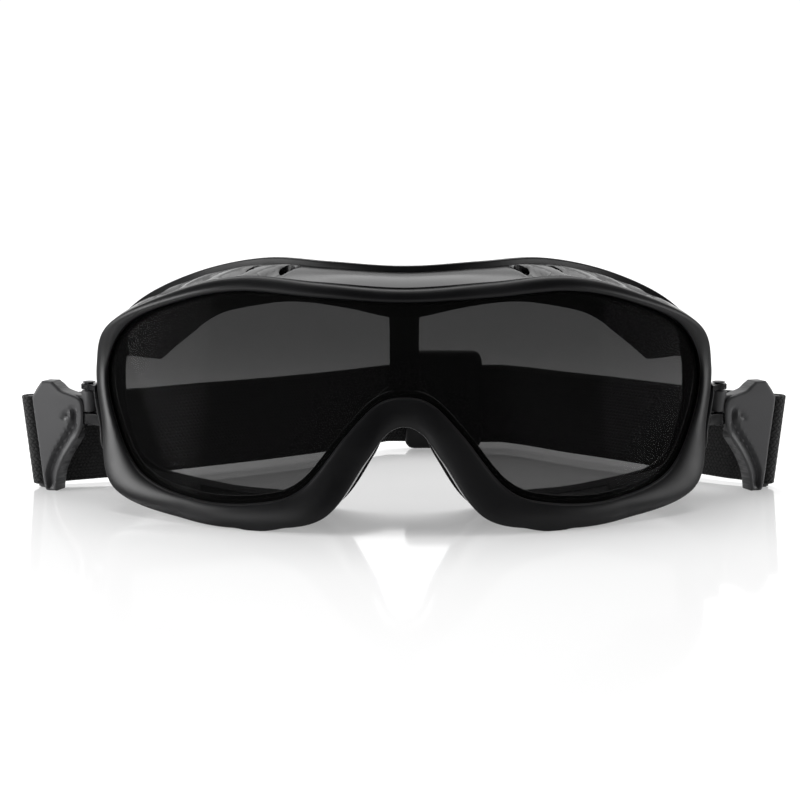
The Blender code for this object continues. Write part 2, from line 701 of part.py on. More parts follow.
def main():
    for obj in list(bpy.data.objects):
        bpy.data.objects.remove(obj)
    parts = bpy.data.collections.new("motorcycle_goggles")
    cutters = bpy.data.collections.new("cutters")
    for c in (parts, cutters):
        bpy.context.scene.collection.children.link(c)
    black = (0.012, 0.012, 0.013)
    m = {"rim": material("rim_plastic", black, 0.22),
         "frame": material("frame_plastic", (0.016, 0.016, 0.017), 0.4),
         "housing": material("housing_plastic", black, 0.28),
         "lens": material("smoked_lens", (0.05, 0.05, 0.05), 0.05, alpha=0.35),
         "gasket": material("gasket_rubber", (0.02, 0.02, 0.02), 0.7),
         "foam": material("face_foam", (0.03, 0.03, 0.032), 0.95),
         "lining": material("fleece_lining", (0.022, 0.022, 0.024), 0.98),
         "vent": material("vent_foam", (0.035, 0.035, 0.035), 0.95),
         "mount": material("mount_plastic", black, 0.25),
         "pin": material("pin_steel", (0.05, 0.05, 0.052), 0.35, metallic=1.0),
         "clip": material("clip_plastic", (0.09, 0.09, 0.093), 0.42),
         "strap": material("strap_webbing", (0.02, 0.02, 0.021), 0.9),
         "slider": material("slider_plastic", (0.014, 0.014, 0.015), 0.35)}
    shell = Shell(RING_STEPS)
    build_rim(shell, parts, cutters, m["rim"])
    build_housing(shell, parts, cutters, m["housing"])
    build_lens(shell, parts, cutters, m["lens"])
    build_gasket(shell, parts, m["gasket"])
    build_vent_foams(shell, parts, m["vent"])
    build_face_layers(parts, cutters, m)
    for side in (-1, 1):
        build_mount(shell, side, parts, cutters, m["mount"])
        build_pin(side, parts, m["pin"])
        clip = build_clip(side, parts, cutters, m["clip"])
        set_origin(clip, side * HINGE[0], HINGE[1], KNUCKLE[0])
    build_straps(parts, m["strap"])
    slider = build_slider(parts, cutters, m["slider"])
    set_origin(slider, SLIDER_CENTRE, RUN_DEPTH, SLIDER_FOOT)


main()
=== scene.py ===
"""Motorcycle goggles: the looks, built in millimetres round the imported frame.
+X is the wearer's left, -Y the front, +Z up; depths are counted back from the frontmost point."""

import json
from math import atan2, cos, dist, exp, floor, hypot, pi, radians, sin, sqrt

import bmesh
import bpy
import numpy as np
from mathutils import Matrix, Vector


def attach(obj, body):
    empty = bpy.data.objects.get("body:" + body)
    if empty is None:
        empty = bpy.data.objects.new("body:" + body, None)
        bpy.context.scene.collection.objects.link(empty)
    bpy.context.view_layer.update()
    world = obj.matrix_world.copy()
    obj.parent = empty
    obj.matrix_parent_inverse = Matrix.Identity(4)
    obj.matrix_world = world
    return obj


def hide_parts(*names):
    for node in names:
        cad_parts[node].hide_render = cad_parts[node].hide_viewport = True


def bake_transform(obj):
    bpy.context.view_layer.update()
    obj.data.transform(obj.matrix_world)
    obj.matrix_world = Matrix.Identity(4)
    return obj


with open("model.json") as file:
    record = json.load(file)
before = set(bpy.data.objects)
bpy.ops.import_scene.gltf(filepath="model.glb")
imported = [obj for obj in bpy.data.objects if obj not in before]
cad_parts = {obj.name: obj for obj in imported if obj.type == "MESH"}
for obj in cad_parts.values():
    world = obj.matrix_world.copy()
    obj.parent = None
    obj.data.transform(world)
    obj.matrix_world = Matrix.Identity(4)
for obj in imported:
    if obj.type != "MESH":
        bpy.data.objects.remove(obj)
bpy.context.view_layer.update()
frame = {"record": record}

MM = 0.001
FOOT = next(m["pos_m"] for m in frame["record"]["mounts"] if m["name"] == "rest_foot_right")
HINGE_AT = next(j["pos_m"] for j in frame["record"]["behaviour"]["joints"] if j["name"] == "right_clip_hinge")

# lens: part of a cylinder about a vertical line, leaning backwards
LENS_RADIUS = 105.0
LENS_RAKE = 0.33
LENS_FRONT_AT = 35.0
LENS_SETBACK = 1.9
LENS_THICKNESS = 1.8
LENS_UNDER_LIP = 0.8

# face side: a saddle that deepens towards the temples and leans with the face
FACE_DEPTH = 23.0
FACE_SWEEP = 33.0
FACE_WIDTH = 46.0
FACE_POWER = 2.5
FACE_RAKE = 0.12
FACE_TOP = 58.0

WALL = 1.8
WALL_BULGE = 0.5
FLANGE_LIP = 1.5
LIP_SETBACK = 1.6
SKIRT_LENGTH = 0.6
SKIRT_SHARE = 0.38
SEAM = 0.15
SHELF_FRONT = 5.2
SHELF_BACK = 6.6
SHELF_IN = 1.2
PLATE_THICKNESS = 1.8
SEAT_GAP = 0.35
FOAM_THICKNESS = 7.0
LINING_THICKNESS = 0.8
GAP = 0.3

# half outlines seen from the front, top centre to nose arch
SIGHT_EDGE = [(0, 56.3), (22, 57.4), (43, 58.6), (60, 55.2), (75, 48.2), (81, 37), (78.3, 24),
              (69.5, 11), (53, 6.2), (36, 6.9), (25.3, 11), (14.8, 23.5), (7, 31.3), (0, 33.2)]
RIM_EDGE = [(0, 59.4), (22, 60.8), (42, 62.2), (61, 57.8), (80.8, 48.2), (84.9, 36.5), (82.4, 22.5),
            (77.4, 6.2), (55, 0.75), (36, 0.6), (20, 3.9), (9.6, 17.4), (4.6, 23.9), (0, 25.9)]
FLANGE_EDGE = [(0, 65), (20, 66), (38, 66.4), (58, 61.8), (75, 53.2), (84.3, 40.5), (83, 22),
               (74.5, 5.2), (56, 0.8), (37, 0.4), (18.5, 2.6), (8, 16), (3.8, 25.5), (0, 28.3)]
FOAM_OPENING = [(0, 54.5), (21, 56.3), (42, 55), (59.5, 46.5), (67.5, 39.4), (78.6, 39.4), (79.8, 27),
                (77.4, 13.2), (70.3, 6.4), (51, 2.9), (36, 2.9), (26.4, 4.8), (11.5, 21), (0, 33.5)]
FRAME_OPENING = [(0, 51.5), (14, 53.9), (24, 55.1), (32, 55), (41.6, 53.3), (49.2, 51.3), (54.3, 48.6),
                 (58.1, 45.6), (63.4, 41.4), (67.1, 38.2), (68.2, 37.8), (72.5, 38.1), (76.7, 38.5),
                 (77.7, 37.4), (77.9, 31), (77.2, 24), (75, 15.9), (72.6, 11.2), (67.5, 7.5), (58, 4.1),
                 (49, 3), (37, 3), (28.5, 5.2), (12.5, 22.5), (7.5, 31), (0, 35.8)]
# place on each opening, counted in its own points, that faces each point of the flange's edge
FOAM_FACING = [0, 1, 1.9, 2.8, 4, 5, 6.3, 7.4, 8.7, 9.9, 11.1, 11.9, 12.4, 13]
FRAME_FACING = [0, 1.6, 3.5, 6, 9, 12.5, 15.2, 17.6, 19.3, 21, 22.2, 23.3, 24.2, 25]
POST_HALF_WIDTH = 3.8
POST_FLARE = 0.3
POST_SPAN = (33.5, 52.5)

# cloth under air: points round one section of each layer, and those stuck to a neighbour
FOAM_SECTION = (38, [*range(2, 13), *range(21, 32)])
LINING_SECTION = (32, range(15))
AIR_PRESSURE = 1.5
AIR_STEPS = 20
SWELL_LIMIT = 0.5

# vents: distance from the centre line
TOP_VENTS = [31.5, 41.5, 51.0, 60.0, 68.0]
BOTTOM_VENTS = [57.0, 67.0, 74.0]
SIDE_VENT_HEIGHT = 34.0
# half size along the ring, half size across it, share of the wall's depth
VENT_SIZES = {"scoop": (2.1, 2.0, 0.79), "slot": (0.9, 2.6, 0.62), "side": (2.0, 0.9, 0.72)}
VENT_REACH = 5.0
SCOOP_HALF_WIDTH = 3.9
SCOOP_DEPTH = 2.1
SCOOP_NEAR = 14.0
# filter strips: between these shares of the wall's depth
FILTER_SPAN = (0.55, 0.86)
FILTER_THICKNESS = 2.0
TOP_FILTER_DEPTH = 4.2

# strap clip (outrigger) and its upright hinge
HINGE = (88.2, 53.2)
CLIP_ANGLE = 18.0
CLIP_HALF_THICKNESS = 2.5
CLIP_LEAN = 0.12
CLIP_INNER_EDGE = [(9.9, 0.0), (9.2, 4.4), (8.2, 7.2), (6.6, 10.2), (4.1, 13.8), (2.0, 16.9), (1.0, 20.0),
                   (0.8, 23.4), (1.1, 25.8), (2.2, 27.0), (4.6, 27.9), (7.4, 28.8), (9.0, 30.1), (10.5, 31.2)]
# thin apron of the clip's face by the hinge, and the depth of its back
CLIP_ROOT = 2.95
APRON_BACK = 2.45
CLIP_OUTER_EDGE = [(12.4, 0.0), (13.8, 1.6), (15.2, 13.4), (16.7, 25.7), (16.2, 27.6), (14.1, 30.8),
                   (13.2, 31.2)]
CLIP_ROUNDING = 0.75
CLIP_CROWN = 0.4
FLUTE_DEPTH = 1.5
FLUTE_WIDTH = 4.0
FLUTE_TOP = 25.0
DIMPLE_AT = (6.2, 21.8)
DIMPLE_DEPTH = 0.8
SHOULDER_FOOT = 27.2
SHOULDER_DEPTH = 0.35
KNUCKLE_RADIUS = 2.2
LUG_ROOT = 5.5
PIN_RADIUS = 1.2
PIN_CLEARANCE = 0.05
KNUCKLE = (22.9, 28.9)
LOWER_LUG = (19.4, 22.6)
UPPER_LUG = (29.2, 30.8)
LUG_INNER = (83.9, 85.5)
PIN_FOOT = 18.9
MOUNT_SPAN = (31.4, 13.0)
MOUNT_THICKNESS = 2.4
BAR_RADIUS = 1.3
BAR_TOP = 26.2
BRIDGE = (0.0, 0.75)

# strap: 25.4 mm webbing
WEB_WIDTH = 25.4
WEB_THICKNESS = 1.2
WEB_GAP = 0.3
FOLD_FOOT = 1.05
BACK_FOOT = 2.2
STRAP_HEADING = {-1: 15.0, 1: 30.0}
LEG_LENGTH = {-1: 31.0, 1: 15.0}
WEB_RIBS = 13
# distances from the middle between which the webbing passes from clip to frame
RUN_DEPTH = 126.0
LEFT_PATH = [(-67, 75.6), (-43.4, 91.4), (-25, 106.5), (-13, 118.6), (-7.5, 124.3)]
RIGHT_PATH = [(84, 77.2), (73, 86), (61.5, 96.5), (50, 108), (41, 118.4), (34.5, 124.4)]
RUN_LEFT = -5.0
RUN_RIGHT = 31.5
SLIDER_CENTRE = 13.0
SLIDER_WIDTH = 25.0
SLIDER_FOOT = 0.4
SLIDER_TOP = 32.2
SLIDER_FACE = 122.4
SLIDER_BACK = 129.6
SLIDER_WALL = 1.9
SLIDER_CORNER = 3.0
SLIDER_ROUNDING = 1.4
TUNNEL_GAP = 0.45

FOOT_X = FOOT[0] / MM
DEPTH_CENTRE = HINGE[1] - HINGE_AT[1] / MM
RING_STEPS = 16
FINE_RING_STEPS = 24
SIDES = {-1: "left", 1: "right"}

# colours
BLACK = (0.0045, 0.0045, 0.005)
SOFT_BLACK = (0.006, 0.006, 0.0065)
CLIP_GREY = (0.05, 0.05, 0.052)
FILTER_GREY = (0.04, 0.04, 0.041)
FOAM_GREY = (0.035, 0.035, 0.037)
FLEECE_BLACK = (0.022, 0.022, 0.024)
WEB_BLACK = (0.006, 0.006, 0.0064)
DULL = 0.16

# camera, in mm and degrees
CAMERA_HEIGHT = 85.0
CAMERA_DISTANCE = 376.0
CAMERA_SIDE = -1.1
CAMERA_PITCH = 7.82
CAMERA_LENS = 69.5

# area lights: name, place, point faced and size in metres, radiance
SOFTBOXES = [("key_left", (-0.62, -0.62, 0.10), (0, -0.03, 0.03), (0.62, 0.17), 5.0),
             ("side_left", (-0.84, -0.10, 0.29), (0, 0, 0.05), (0.5, 0.24), 15.0),
             ("side_right", (0.84, -0.10, 0.24), (0, 0, 0.05), (0.5, 0.22), 8.0),
             ("fill_right", (0.66, -0.58, 0.09), (0, -0.03, 0.03), (0.5, 0.15), 1.2),
             ("top", (0, 0.3, 0.75), (0, 0.02, 0.0), (0.9, 0.5), 3.4)]


# ---- outlines and surfaces

def spline_at(points, t, closed):
    """Point on the smooth curve through points; t counts points."""
    n = len(points)
    i = min(int(floor(t)), n - 1 if closed else n - 2)
    t -= i
    p = [points[(i + k) % n] if closed else points[min(max(i + k, 0), n - 1)] for k in (-1, 0, 1, 2)]
    w = (0.5 * (-t + 2 * t * t - t ** 3), 0.5 * (2 - 5 * t * t + 3 * t ** 3),
         0.5 * (t + 4 * t * t - 3 * t ** 3), 0.5 * (t ** 3 - t * t))
    return tuple(sum(w[k] * p[k][a] for k in range(4)) for a in range(len(p[0])))


def spline(points, steps, closed):
    """Smooth curve through points; closed curves come back without a repeated end."""
    last = len(points) if closed else len(points) - 1
    out = [spline_at(points, k / steps, closed) for k in range(last * steps)]
    return out if closed else out + [tuple(points[-1])]


def whole(half):
    """Closed outline from its right half."""
    return list(half) + [(-x, z) for x, z in reversed(half[1:-1])]


def inward(outline):
    """Unit vector into the outline at each of its points."""
    n = len(outline)
    out = []
    for i in range(n):
        dx = outline[(i + 1) % n][0] - outline[i - 1][0]
        dz = outline[(i + 1) % n][1] - outline[i - 1][1]
        length = hypot(dx, dz)
        out.append((dz / length, -dx / length))
    return out


def offset(outline, distance):
    """Outline moved inwards by distance, or outwards when it is negative."""
    return [(p[0] + distance * v[0], p[1] + distance * v[1]) for p, v in zip(outline, inward(outline))]


def sag(x):
    return LENS_RADIUS - sqrt(LENS_RADIUS ** 2 - x * x)


def lens_y(x, z):
    return sag(x) - sag(LENS_FRONT_AT) + LENS_RAKE * z


def face_sweep(x):
    return FACE_SWEEP * (1 - exp(-((abs(x) / FACE_WIDTH) ** FACE_POWER)))


def face_y(x, z):
    return FACE_DEPTH + face_sweep(x) + FACE_RAKE * (z - FACE_TOP)


def behind_face(x, z, distance):
    """Point this far behind the face side's surface."""
    foot, normal = x, 1.0
    for _ in range(8):
        slope = (face_sweep(foot + 0.05) - face_sweep(foot - 0.05)) / 0.1
        normal = hypot(1, slope)
        foot = x + distance * slope / normal
    return (x, face_y(foot, z) + distance / normal, z)


def mix(p, q, t):
    return tuple(a + t * (b - a) for a, b in zip(p, q))


def smooth(t):
    t = min(max(t, 0.0), 1.0)
    return t * t * (3 - 2 * t)


def fillet(points, radii, steps=3):
    """Closed polygon with corners rounded; a radius of 0 keeps the point as it is."""
    n = len(points)
    out = []
    for k, (p, r) in enumerate(zip(points, radii)):
        if r == 0:
            out.append(tuple(p))
            continue
        before, after = points[k - 1], points[(k + 1) % n]
        a = mix(p, before, min(r / dist(p, before), 0.45))
        b = mix(p, after, min(r / dist(p, after), 0.45))
        for j in range(steps + 1):
            t = j / steps
            out.append(mix(mix(a, p, t), mix(p, b, t), t))
    return out


class Shell:
    """The matched rings that the rim, housing and their fittings follow."""

    def __init__(self, steps):
        self.steps = steps
        self.sight = spline(whole(SIGHT_EDGE), steps, True)
        self.edge = spline(whole(RIM_EDGE), steps, True)
        self.rear = offset(spline(whole(FLANGE_EDGE), steps, True), FLANGE_LIP)
        self.into = inward(self.edge)
        self.count = len(self.sight)
        self.a = [(x, lens_y(x, z), z) for x, z in self.sight]
        self.b = []
        for (x, z), a in zip(self.edge, self.a):
            rise = lens_y(x, z) - a[1]
            self.b.append((x, a[1] + 1.5 + (0.35 if rise > 0 else 1.0) * rise, z))
        self.c = [(x, face_y(x, z) - SEAT_GAP, z) for x, z in self.rear]

    def wall(self, i, g, depth=0.0):
        """Point on the wall, from the rim at g 0 to the flange at g 1, sunk inwards by depth."""
        p = mix(self.b[i], self.c[i], g)
        d = depth - WALL_BULGE * sin(pi * g) * (1 if p[2] > 8 else max(p[2], 0) / 8)
        return (p[0] + d * self.into[i][0], p[1], p[2] + d * self.into[i][1])

    def between(self, place, g, depth=0.0):
        """Point on the wall between two stations."""
        i, f = place
        return mix(self.wall(i, g, depth), self.wall(i + 1, g, depth), f)

    def skirt(self, i):
        """Share of the wall that the rim's skirt covers."""
        level = min(self.a[i][1], self.seat(i)[1]) + SHELF_FRONT - SEAM - 0.2 - self.b[i][1]
        return min(SKIRT_SHARE, SKIRT_LENGTH / dist(self.b[i], self.c[i]),
                   level / (self.c[i][1] - self.b[i][1]))

    def seam(self, i):
        return self.skirt(i) + SEAM / dist(self.b[i], self.c[i])

    def shelf(self, i):
        """Share of the wall at the back of the lens shelf."""
        level = max(self.a[i][1], self.seat(i)[1]) + SHELF_BACK
        g = (level - self.b[i][1]) / (self.c[i][1] - self.b[i][1])
        return min(max(g, self.seam(i) + 0.1), 0.82)

    def seat(self, i):
        """Outer edge of the gasket's seat."""
        return self.out_of_sight(i, LENS_UNDER_LIP + 0.1)

    def out_of_sight(self, i, distance):
        """Point this far outwards of the sight edge, on the lens surface."""
        a, b = self.sight[i], self.edge[i]
        x, z = mix(a, b, distance / dist(a, b))
        return (x, lens_y(x, z), z)

    def span(self, side, low, high):
        """The stations from low to high on the right side, or those that mirror them on the left."""
        return (low, high) if side > 0 else (self.count - high, self.count - low)

    def station(self, key, value, low, high):
        """Ring position between two stations where the wall's middle passes the value."""
        for i in range(low, min(high, self.count - 1)):
            p, q = self.wall(i, 0.55)[key], self.wall(i + 1, 0.55)[key]
            if (p - value) * (q - value) <= 0 and p != q:
                return i, (value - p) / (q - p)
        raise ValueError("no such place on the ring")


# ---- meshes

def metres(p):
    return Vector((p[0] * MM, (p[1] - DEPTH_CENTRE) * MM, p[2] * MM))


def loft(bm, sections, closed, lays=None):
    """Quads between matching sections; an open loft gets a face at each end."""
    rows = [[bm.verts.new(metres(p)) for p in s] for s in sections]
    if lays is not None:
        layer = bm.verts.layers.float_vector["lay"]
        for row, marks in zip(rows, lays):
            for v, mark in zip(row, marks):
                v[layer] = mark
    n = len(rows[0])
    for i in range(len(rows) if closed else len(rows) - 1):
        a, b = rows[i], rows[(i + 1) % len(rows)]
        for k in range(n):
            bm.faces.new((a[k], a[(k + 1) % n], b[(k + 1) % n], b[k]))
    if not closed:
        bm.faces.new(rows[0])
        bm.faces.new(list(reversed(rows[-1])))


def place_object(name, data):
    obj = bpy.data.objects.new(name, data)
    bpy.context.scene.collection.objects.link(obj)
    return obj


def new_object(name, bm):
    bmesh.ops.recalc_face_normals(bm, faces=bm.faces)
    mesh = bpy.data.meshes.new(name)
    bm.to_mesh(mesh)
    bm.free()
    return place_object(name, mesh)


def lofted(name, sections, closed=False, lays=None):
    bm = bmesh.new()
    if lays is not None:
        bm.verts.layers.float_vector.new("lay")
    loft(bm, sections, closed, lays)
    return new_object(name, bm)


def combine(obj, others, operation):
    """Boolean of obj with each other object, which is used up."""
    for other in others:
        m = obj.modifiers.new(operation.lower(), "BOOLEAN")
        m.operation = operation
        m.solver = "EXACT"
        m.object = other
    graph = bpy.context.evaluated_depsgraph_get()
    mesh = bpy.data.meshes.new_from_object(obj.evaluated_get(graph))
    obj.modifiers.clear()
    obj.data = mesh
    for other in others:
        bpy.data.objects.remove(other)


def quarter_round(radius, steps):
    """Depth and inset of each level of a rounded edge, from the piece's face to its side."""
    turns = [pi / 2 * k / steps for k in range(steps + 1)]
    return [(radius * (1 - cos(a)), radius * (1 - sin(a))) for a in turns]


def prism_z(outline, z0, z1, round_by=0.0):
    """Upright prism; its top and bottom edges are rounded by round_by."""
    if not round_by:
        return [[(x, y, z) for x, y in outline] for z in (z0, z1)]
    levels = [(z0 + depth, inset) for depth, inset in quarter_round(round_by, 4)]
    turned = area(outline) > 0
    sections = []
    for z, inset in levels + [(z0 + z1 - z, inset) for z, inset in reversed(levels)]:
        shape = offset(outline, -inset if turned else inset) if inset else outline
        sections.append([(x, y, z) for x, y in shape])
    return sections


def area(outline):
    return sum(outline[i - 1][0] * p[1] - p[0] * outline[i - 1][1] for i, p in enumerate(outline)) / 2


def circle(cx, cy, r, sides=40):
    return [(cx + r * cos(2 * pi * k / sides), cy + r * sin(2 * pi * k / sides))
            for k in range(sides)]


def oval_cutter(bm, centre, axis, along, half_along, half_across, reach):
    """Oval plug through a wall: axis out of the wall, along its long way."""
    axis = Vector(axis).normalized()
    along = (along - axis * along.dot(axis)).normalized()
    across = axis.cross(along)
    loft(bm, [[centre + axis * d + along * half_along * u + across * half_across * v
               for u, v in circle(0, 0, 1, 28)] for d in (-reach, reach)], False)


def dress(obj, body, node, material, sharp):
    """Finishes a piece: shading, material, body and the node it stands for."""
    mesh = obj.data
    mesh.shade_smooth()
    mesh.set_sharp_from_angle(angle=radians(sharp))
    mesh.materials.clear()
    mesh.materials.append(material)
    if body:
        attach(obj, body)
    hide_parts(node)
    return obj


# ---- front shell

def footed(p):
    """Presses the two small flat lands into the rim's underside, 6 mm either side of their middle."""
    x, y, z = p
    if z > 2.5:
        return p
    window = max(0.0, 1 - ((abs(x) - FOOT_X) / 6.0) ** 2)
    return (x, y, max(z - window * max(0.0, 1 - z / 2.5), 0.0))


def build_rim(shell, material):
    cage = [(0.0, 1.0), (0.01, 0.4), (0.05, -0.05), (0.16, -0.45), (0.32, -0.75), (0.52, -0.9),
            (0.72, -0.82), (0.86, -0.62), (0.95, -0.38), (0.985, -0.15)]
    sections = []
    for i in range(shell.count):
        a, b = shell.a[i], shell.b[i]
        front = [(p[0], p[1] + d, p[2]) for p, d in [(mix(a, b, f), d) for f, d in cage]]
        front = spline(front, 3, False)
        x, y, z = inside = shell.wall(i, shell.skirt(i), WALL)
        corners = [(b[0], b[1] + 0.25, b[2]), shell.wall(i, shell.skirt(i)), inside,
                   (x, min(lens_y(x, z) + LIP_SETBACK, y - 0.3), z), (a[0], a[1] + LIP_SETBACK, a[2])]
        ring = fillet(front + corners, [0] * len(front) + [0.35, 0.12, 0.2, 0.2, 0.25])
        sections.append([footed(p) for p in ring])
    dress(lofted("rim", sections, True), "frame", "front_rim", material, 60)


def vent_places(shell):
    """Ring position and kind of every vent."""
    s = shell.steps
    places = []
    for side in (1, -1):
        top, bottom = shell.span(side, 0, 5 * s), shell.span(side, 5 * s, 10 * s)
        flank = shell.span(side, 4 * s, 6 * s + 1)
        places += [(shell.station(0, side * x, *top), "scoop") for x in TOP_VENTS]
        places += [(shell.station(0, side * x, *bottom), "slot") for x in BOTTOM_VENTS]
        places.append((shell.station(2, SIDE_VENT_HEIGHT, *flank), "side"))
    return places


def vent_frame(shell, place, g):
    """Centre of a vent on the wall and the way to the next station of the ring."""
    i = place[0]
    return Vector(shell.between(place, g)), Vector(shell.wall(i + 1, g)) - Vector(shell.wall(i, g))


def scooped(scoops, point, g):
    """How far the wall is sunk: rounded flanks, a lip in front and a floor that climbs at the back."""
    sunk = 0.0
    for centre, ahead in scoops:
        u = (Vector(point) - centre).dot(ahead.normalized()) / SCOOP_HALF_WIDTH
        sunk = max(sunk, SCOOP_DEPTH * smooth(1.3 * (1 - abs(u))))
    return sunk * smooth((g - 0.07) / 0.12) * (1 - smooth((g - 0.73) / 0.25))


def build_housing(shell, material):
    places = vent_places(shell)
    scoops = [vent_frame(shell, place, VENT_SIZES[kind][2]) for place, kind in places if kind == "scoop"]
    outer_steps, inner_steps = 22, 12
    sections = []
    for i in range(shell.count):
        g0, gs = shell.seam(i), shell.shelf(i)
        near = [s for s in scoops if (Vector(shell.wall(i, 0.62)) - s[0]).length < SCOOP_NEAR]
        outer = []
        for k in range(outer_steps + 1):
            g = g0 + (1 - g0) * k / outer_steps
            outer.append(shell.wall(i, g, scooped(near, shell.wall(i, g), g)))
        x, y, z = shell.out_of_sight(i, -SHELF_IN)
        seat = shell.seat(i)
        inner = []
        for k in range(inner_steps + 1):
            g = 1 + (gs - 1) * k / inner_steps
            inner.append(shell.wall(i, g, WALL + 0.8 * scooped(near, shell.wall(i, g), g)))
        inner += [(x, y + SHELF_BACK, z), (x, y + SHELF_FRONT, z),
                  (seat[0], seat[1] + SHELF_FRONT, seat[2])]
        radii = [0.2] + [0] * (outer_steps - 1) + [0.2, 0.2] + [0] * inner_steps + [0.25, 0.2, 0.2]
        sections.append(fillet(outer + inner, radii, 2))
    housing = lofted("housing_shell", sections, True)
    bm = bmesh.new()
    for place, kind in places:
        half_along, half_across, g = VENT_SIZES[kind]
        centre, ahead = vent_frame(shell, place, g)
        into = shell.into[place[0]]
        if kind == "slot":
            ahead += 0.5 * ahead.length * Vector((0, 1, 0))
        oval_cutter(bm, centre, (into[0], 0, into[1]), ahead, half_along, half_across, VENT_REACH)
    combine(housing, [new_object("vent_cuts", bm)], "DIFFERENCE")
    dress(housing, "frame", "housing", material, 35)


def build_vent_foams(shell, material):
    s = shell.steps
    g0, g1 = FILTER_SPAN
    rows = {"top": (int(1.3 * s), 4 * s - s // 3, TOP_FILTER_DEPTH),
            "bottom": (int(6.7 * s), 8 * s, WALL + GAP + 0.1)}
    for row, (first, last, near) in rows.items():
        far = near + FILTER_THICKNESS
        for side in (1, -1):
            low, high = shell.span(side, first, last)
            sections = []
            for i in range(low, high + 1):
                corners = [shell.wall(i, g, d) for g, d in ((g0, near), (g1, near), (g1, far), (g0, far))]
                sections.append(fillet(corners, [0.5] * 4, 3))
            spot = f"{row}_{SIDES[side]}"
            dress(lofted("filter_" + spot, sections), "frame", "vent_foam_" + spot, material, 50)


def build_lens(shell, material):
    outline = [shell.out_of_sight(i, LENS_UNDER_LIP) for i in range(shell.count)]
    right = outline[:shell.count // 2 + 1]
    far = max(range(len(right)), key=lambda k: right[k][0])
    top, bottom, reach = right[:far + 1], right[far:][::-1], right[far][0]
    (tx, _, tz), (bx, _, bz) = zip(*top), zip(*bottom)
    columns, rows = 200, 30
    sections = []
    for c in range(1, columns):
        x = -reach * cos(pi * c / columns)
        zt, zb = np.interp(abs(x), tx, tz), np.interp(abs(x), bx, bz)
        line = [zb + (zt - zb) * r / rows for r in range(rows + 1)]
        front = [(x, lens_y(x, z) + LENS_SETBACK, z) for z in line]
        sections.append(front + [(x, y + LENS_THICKNESS, z) for x, y, z in reversed(front)])
    dress(lofted("lens_pane", sections), "frame", "lens", material, 50)


# ---- face side

def facing(opening, marks, steps):
    """Opening outline resampled so that its points face those of the flange's edge."""
    half = len(marks) - 1
    out = []
    for k in range(half * steps + 1):
        i = min(k // steps, half - 1)
        f = k / steps - i
        out.append(spline_at(whole(opening), marks[i] + f * (marks[i + 1] - marks[i]), True))
    return whole(out)


def face_ring(outer, inner, front, back, radii, crown=0.0, bulge=0.0, across=8):
    """Sections of a ring that follows the face side between two outlines and two distances."""
    middle = (front + back) / 2
    rounding = []
    for radius in radii:
        rounding += [radius] + [0] * (across - 1) + [radius, 0.8 if bulge else 0]
    sections = []
    for p, q in zip(outer, inner):
        beyond = -bulge / dist(p, q)
        ring = [behind_face(*mix(p, q, k / across), front) for k in range(across + 1)]
        ring.append(behind_face(*mix(q, p, beyond), middle))
        for k in range(across, -1, -1):
            f = k / across
            ring.append(behind_face(*mix(p, q, f), back + crown * (1 - (2 * f - 1) ** 4)))
        ring.append(behind_face(*mix(p, q, beyond), middle))
        sections.append(fillet(ring, rounding, 3))
    return sections


def coordinates(mesh):
    flat = np.empty(len(mesh.vertices) * 3)
    mesh.vertices.foreach_get("co", flat)
    return flat.reshape(-1, 3)


def swell(obj, section):
    """Lets a layer plump up as cloth under a little air; its stuck points stay where they are."""
    rest = coordinates(obj.data)
    around, stuck = section
    group = obj.vertex_groups.new(name="stuck")
    group.add([k for k in range(len(rest)) if k % around in stuck], 1.0, "REPLACE")
    cloth = obj.modifiers.new("air", "CLOTH").settings
    cloth.vertex_group_mass = "stuck"
    cloth.use_pressure = True
    cloth.uniform_pressure_force = AIR_PRESSURE
    cloth.effector_weights.gravity = 0.0
    cloth.tension_stiffness = 8.0
    cloth.compression_stiffness = 8.0
    cloth.bending_stiffness = 0.05
    cloth.mass = 0.05
    scene = bpy.context.scene
    for step in range(1, AIR_STEPS + 1):
        scene.frame_set(step)
    graph = bpy.context.evaluated_depsgraph_get()
    shift = coordinates(obj.evaluated_get(graph).data) - rest
    obj.modifiers.clear()
    scene.frame_set(1)
    reach = np.linalg.norm(shift, axis=1, keepdims=True)
    limit = SWELL_LIMIT * MM
    shift *= limit * np.tanh(reach / limit) / np.maximum(reach, 1e-9)
    obj.data.vertices.foreach_set("co", (rest + shift).ravel())
    obj.vertex_groups.clear()
    obj.data.update()


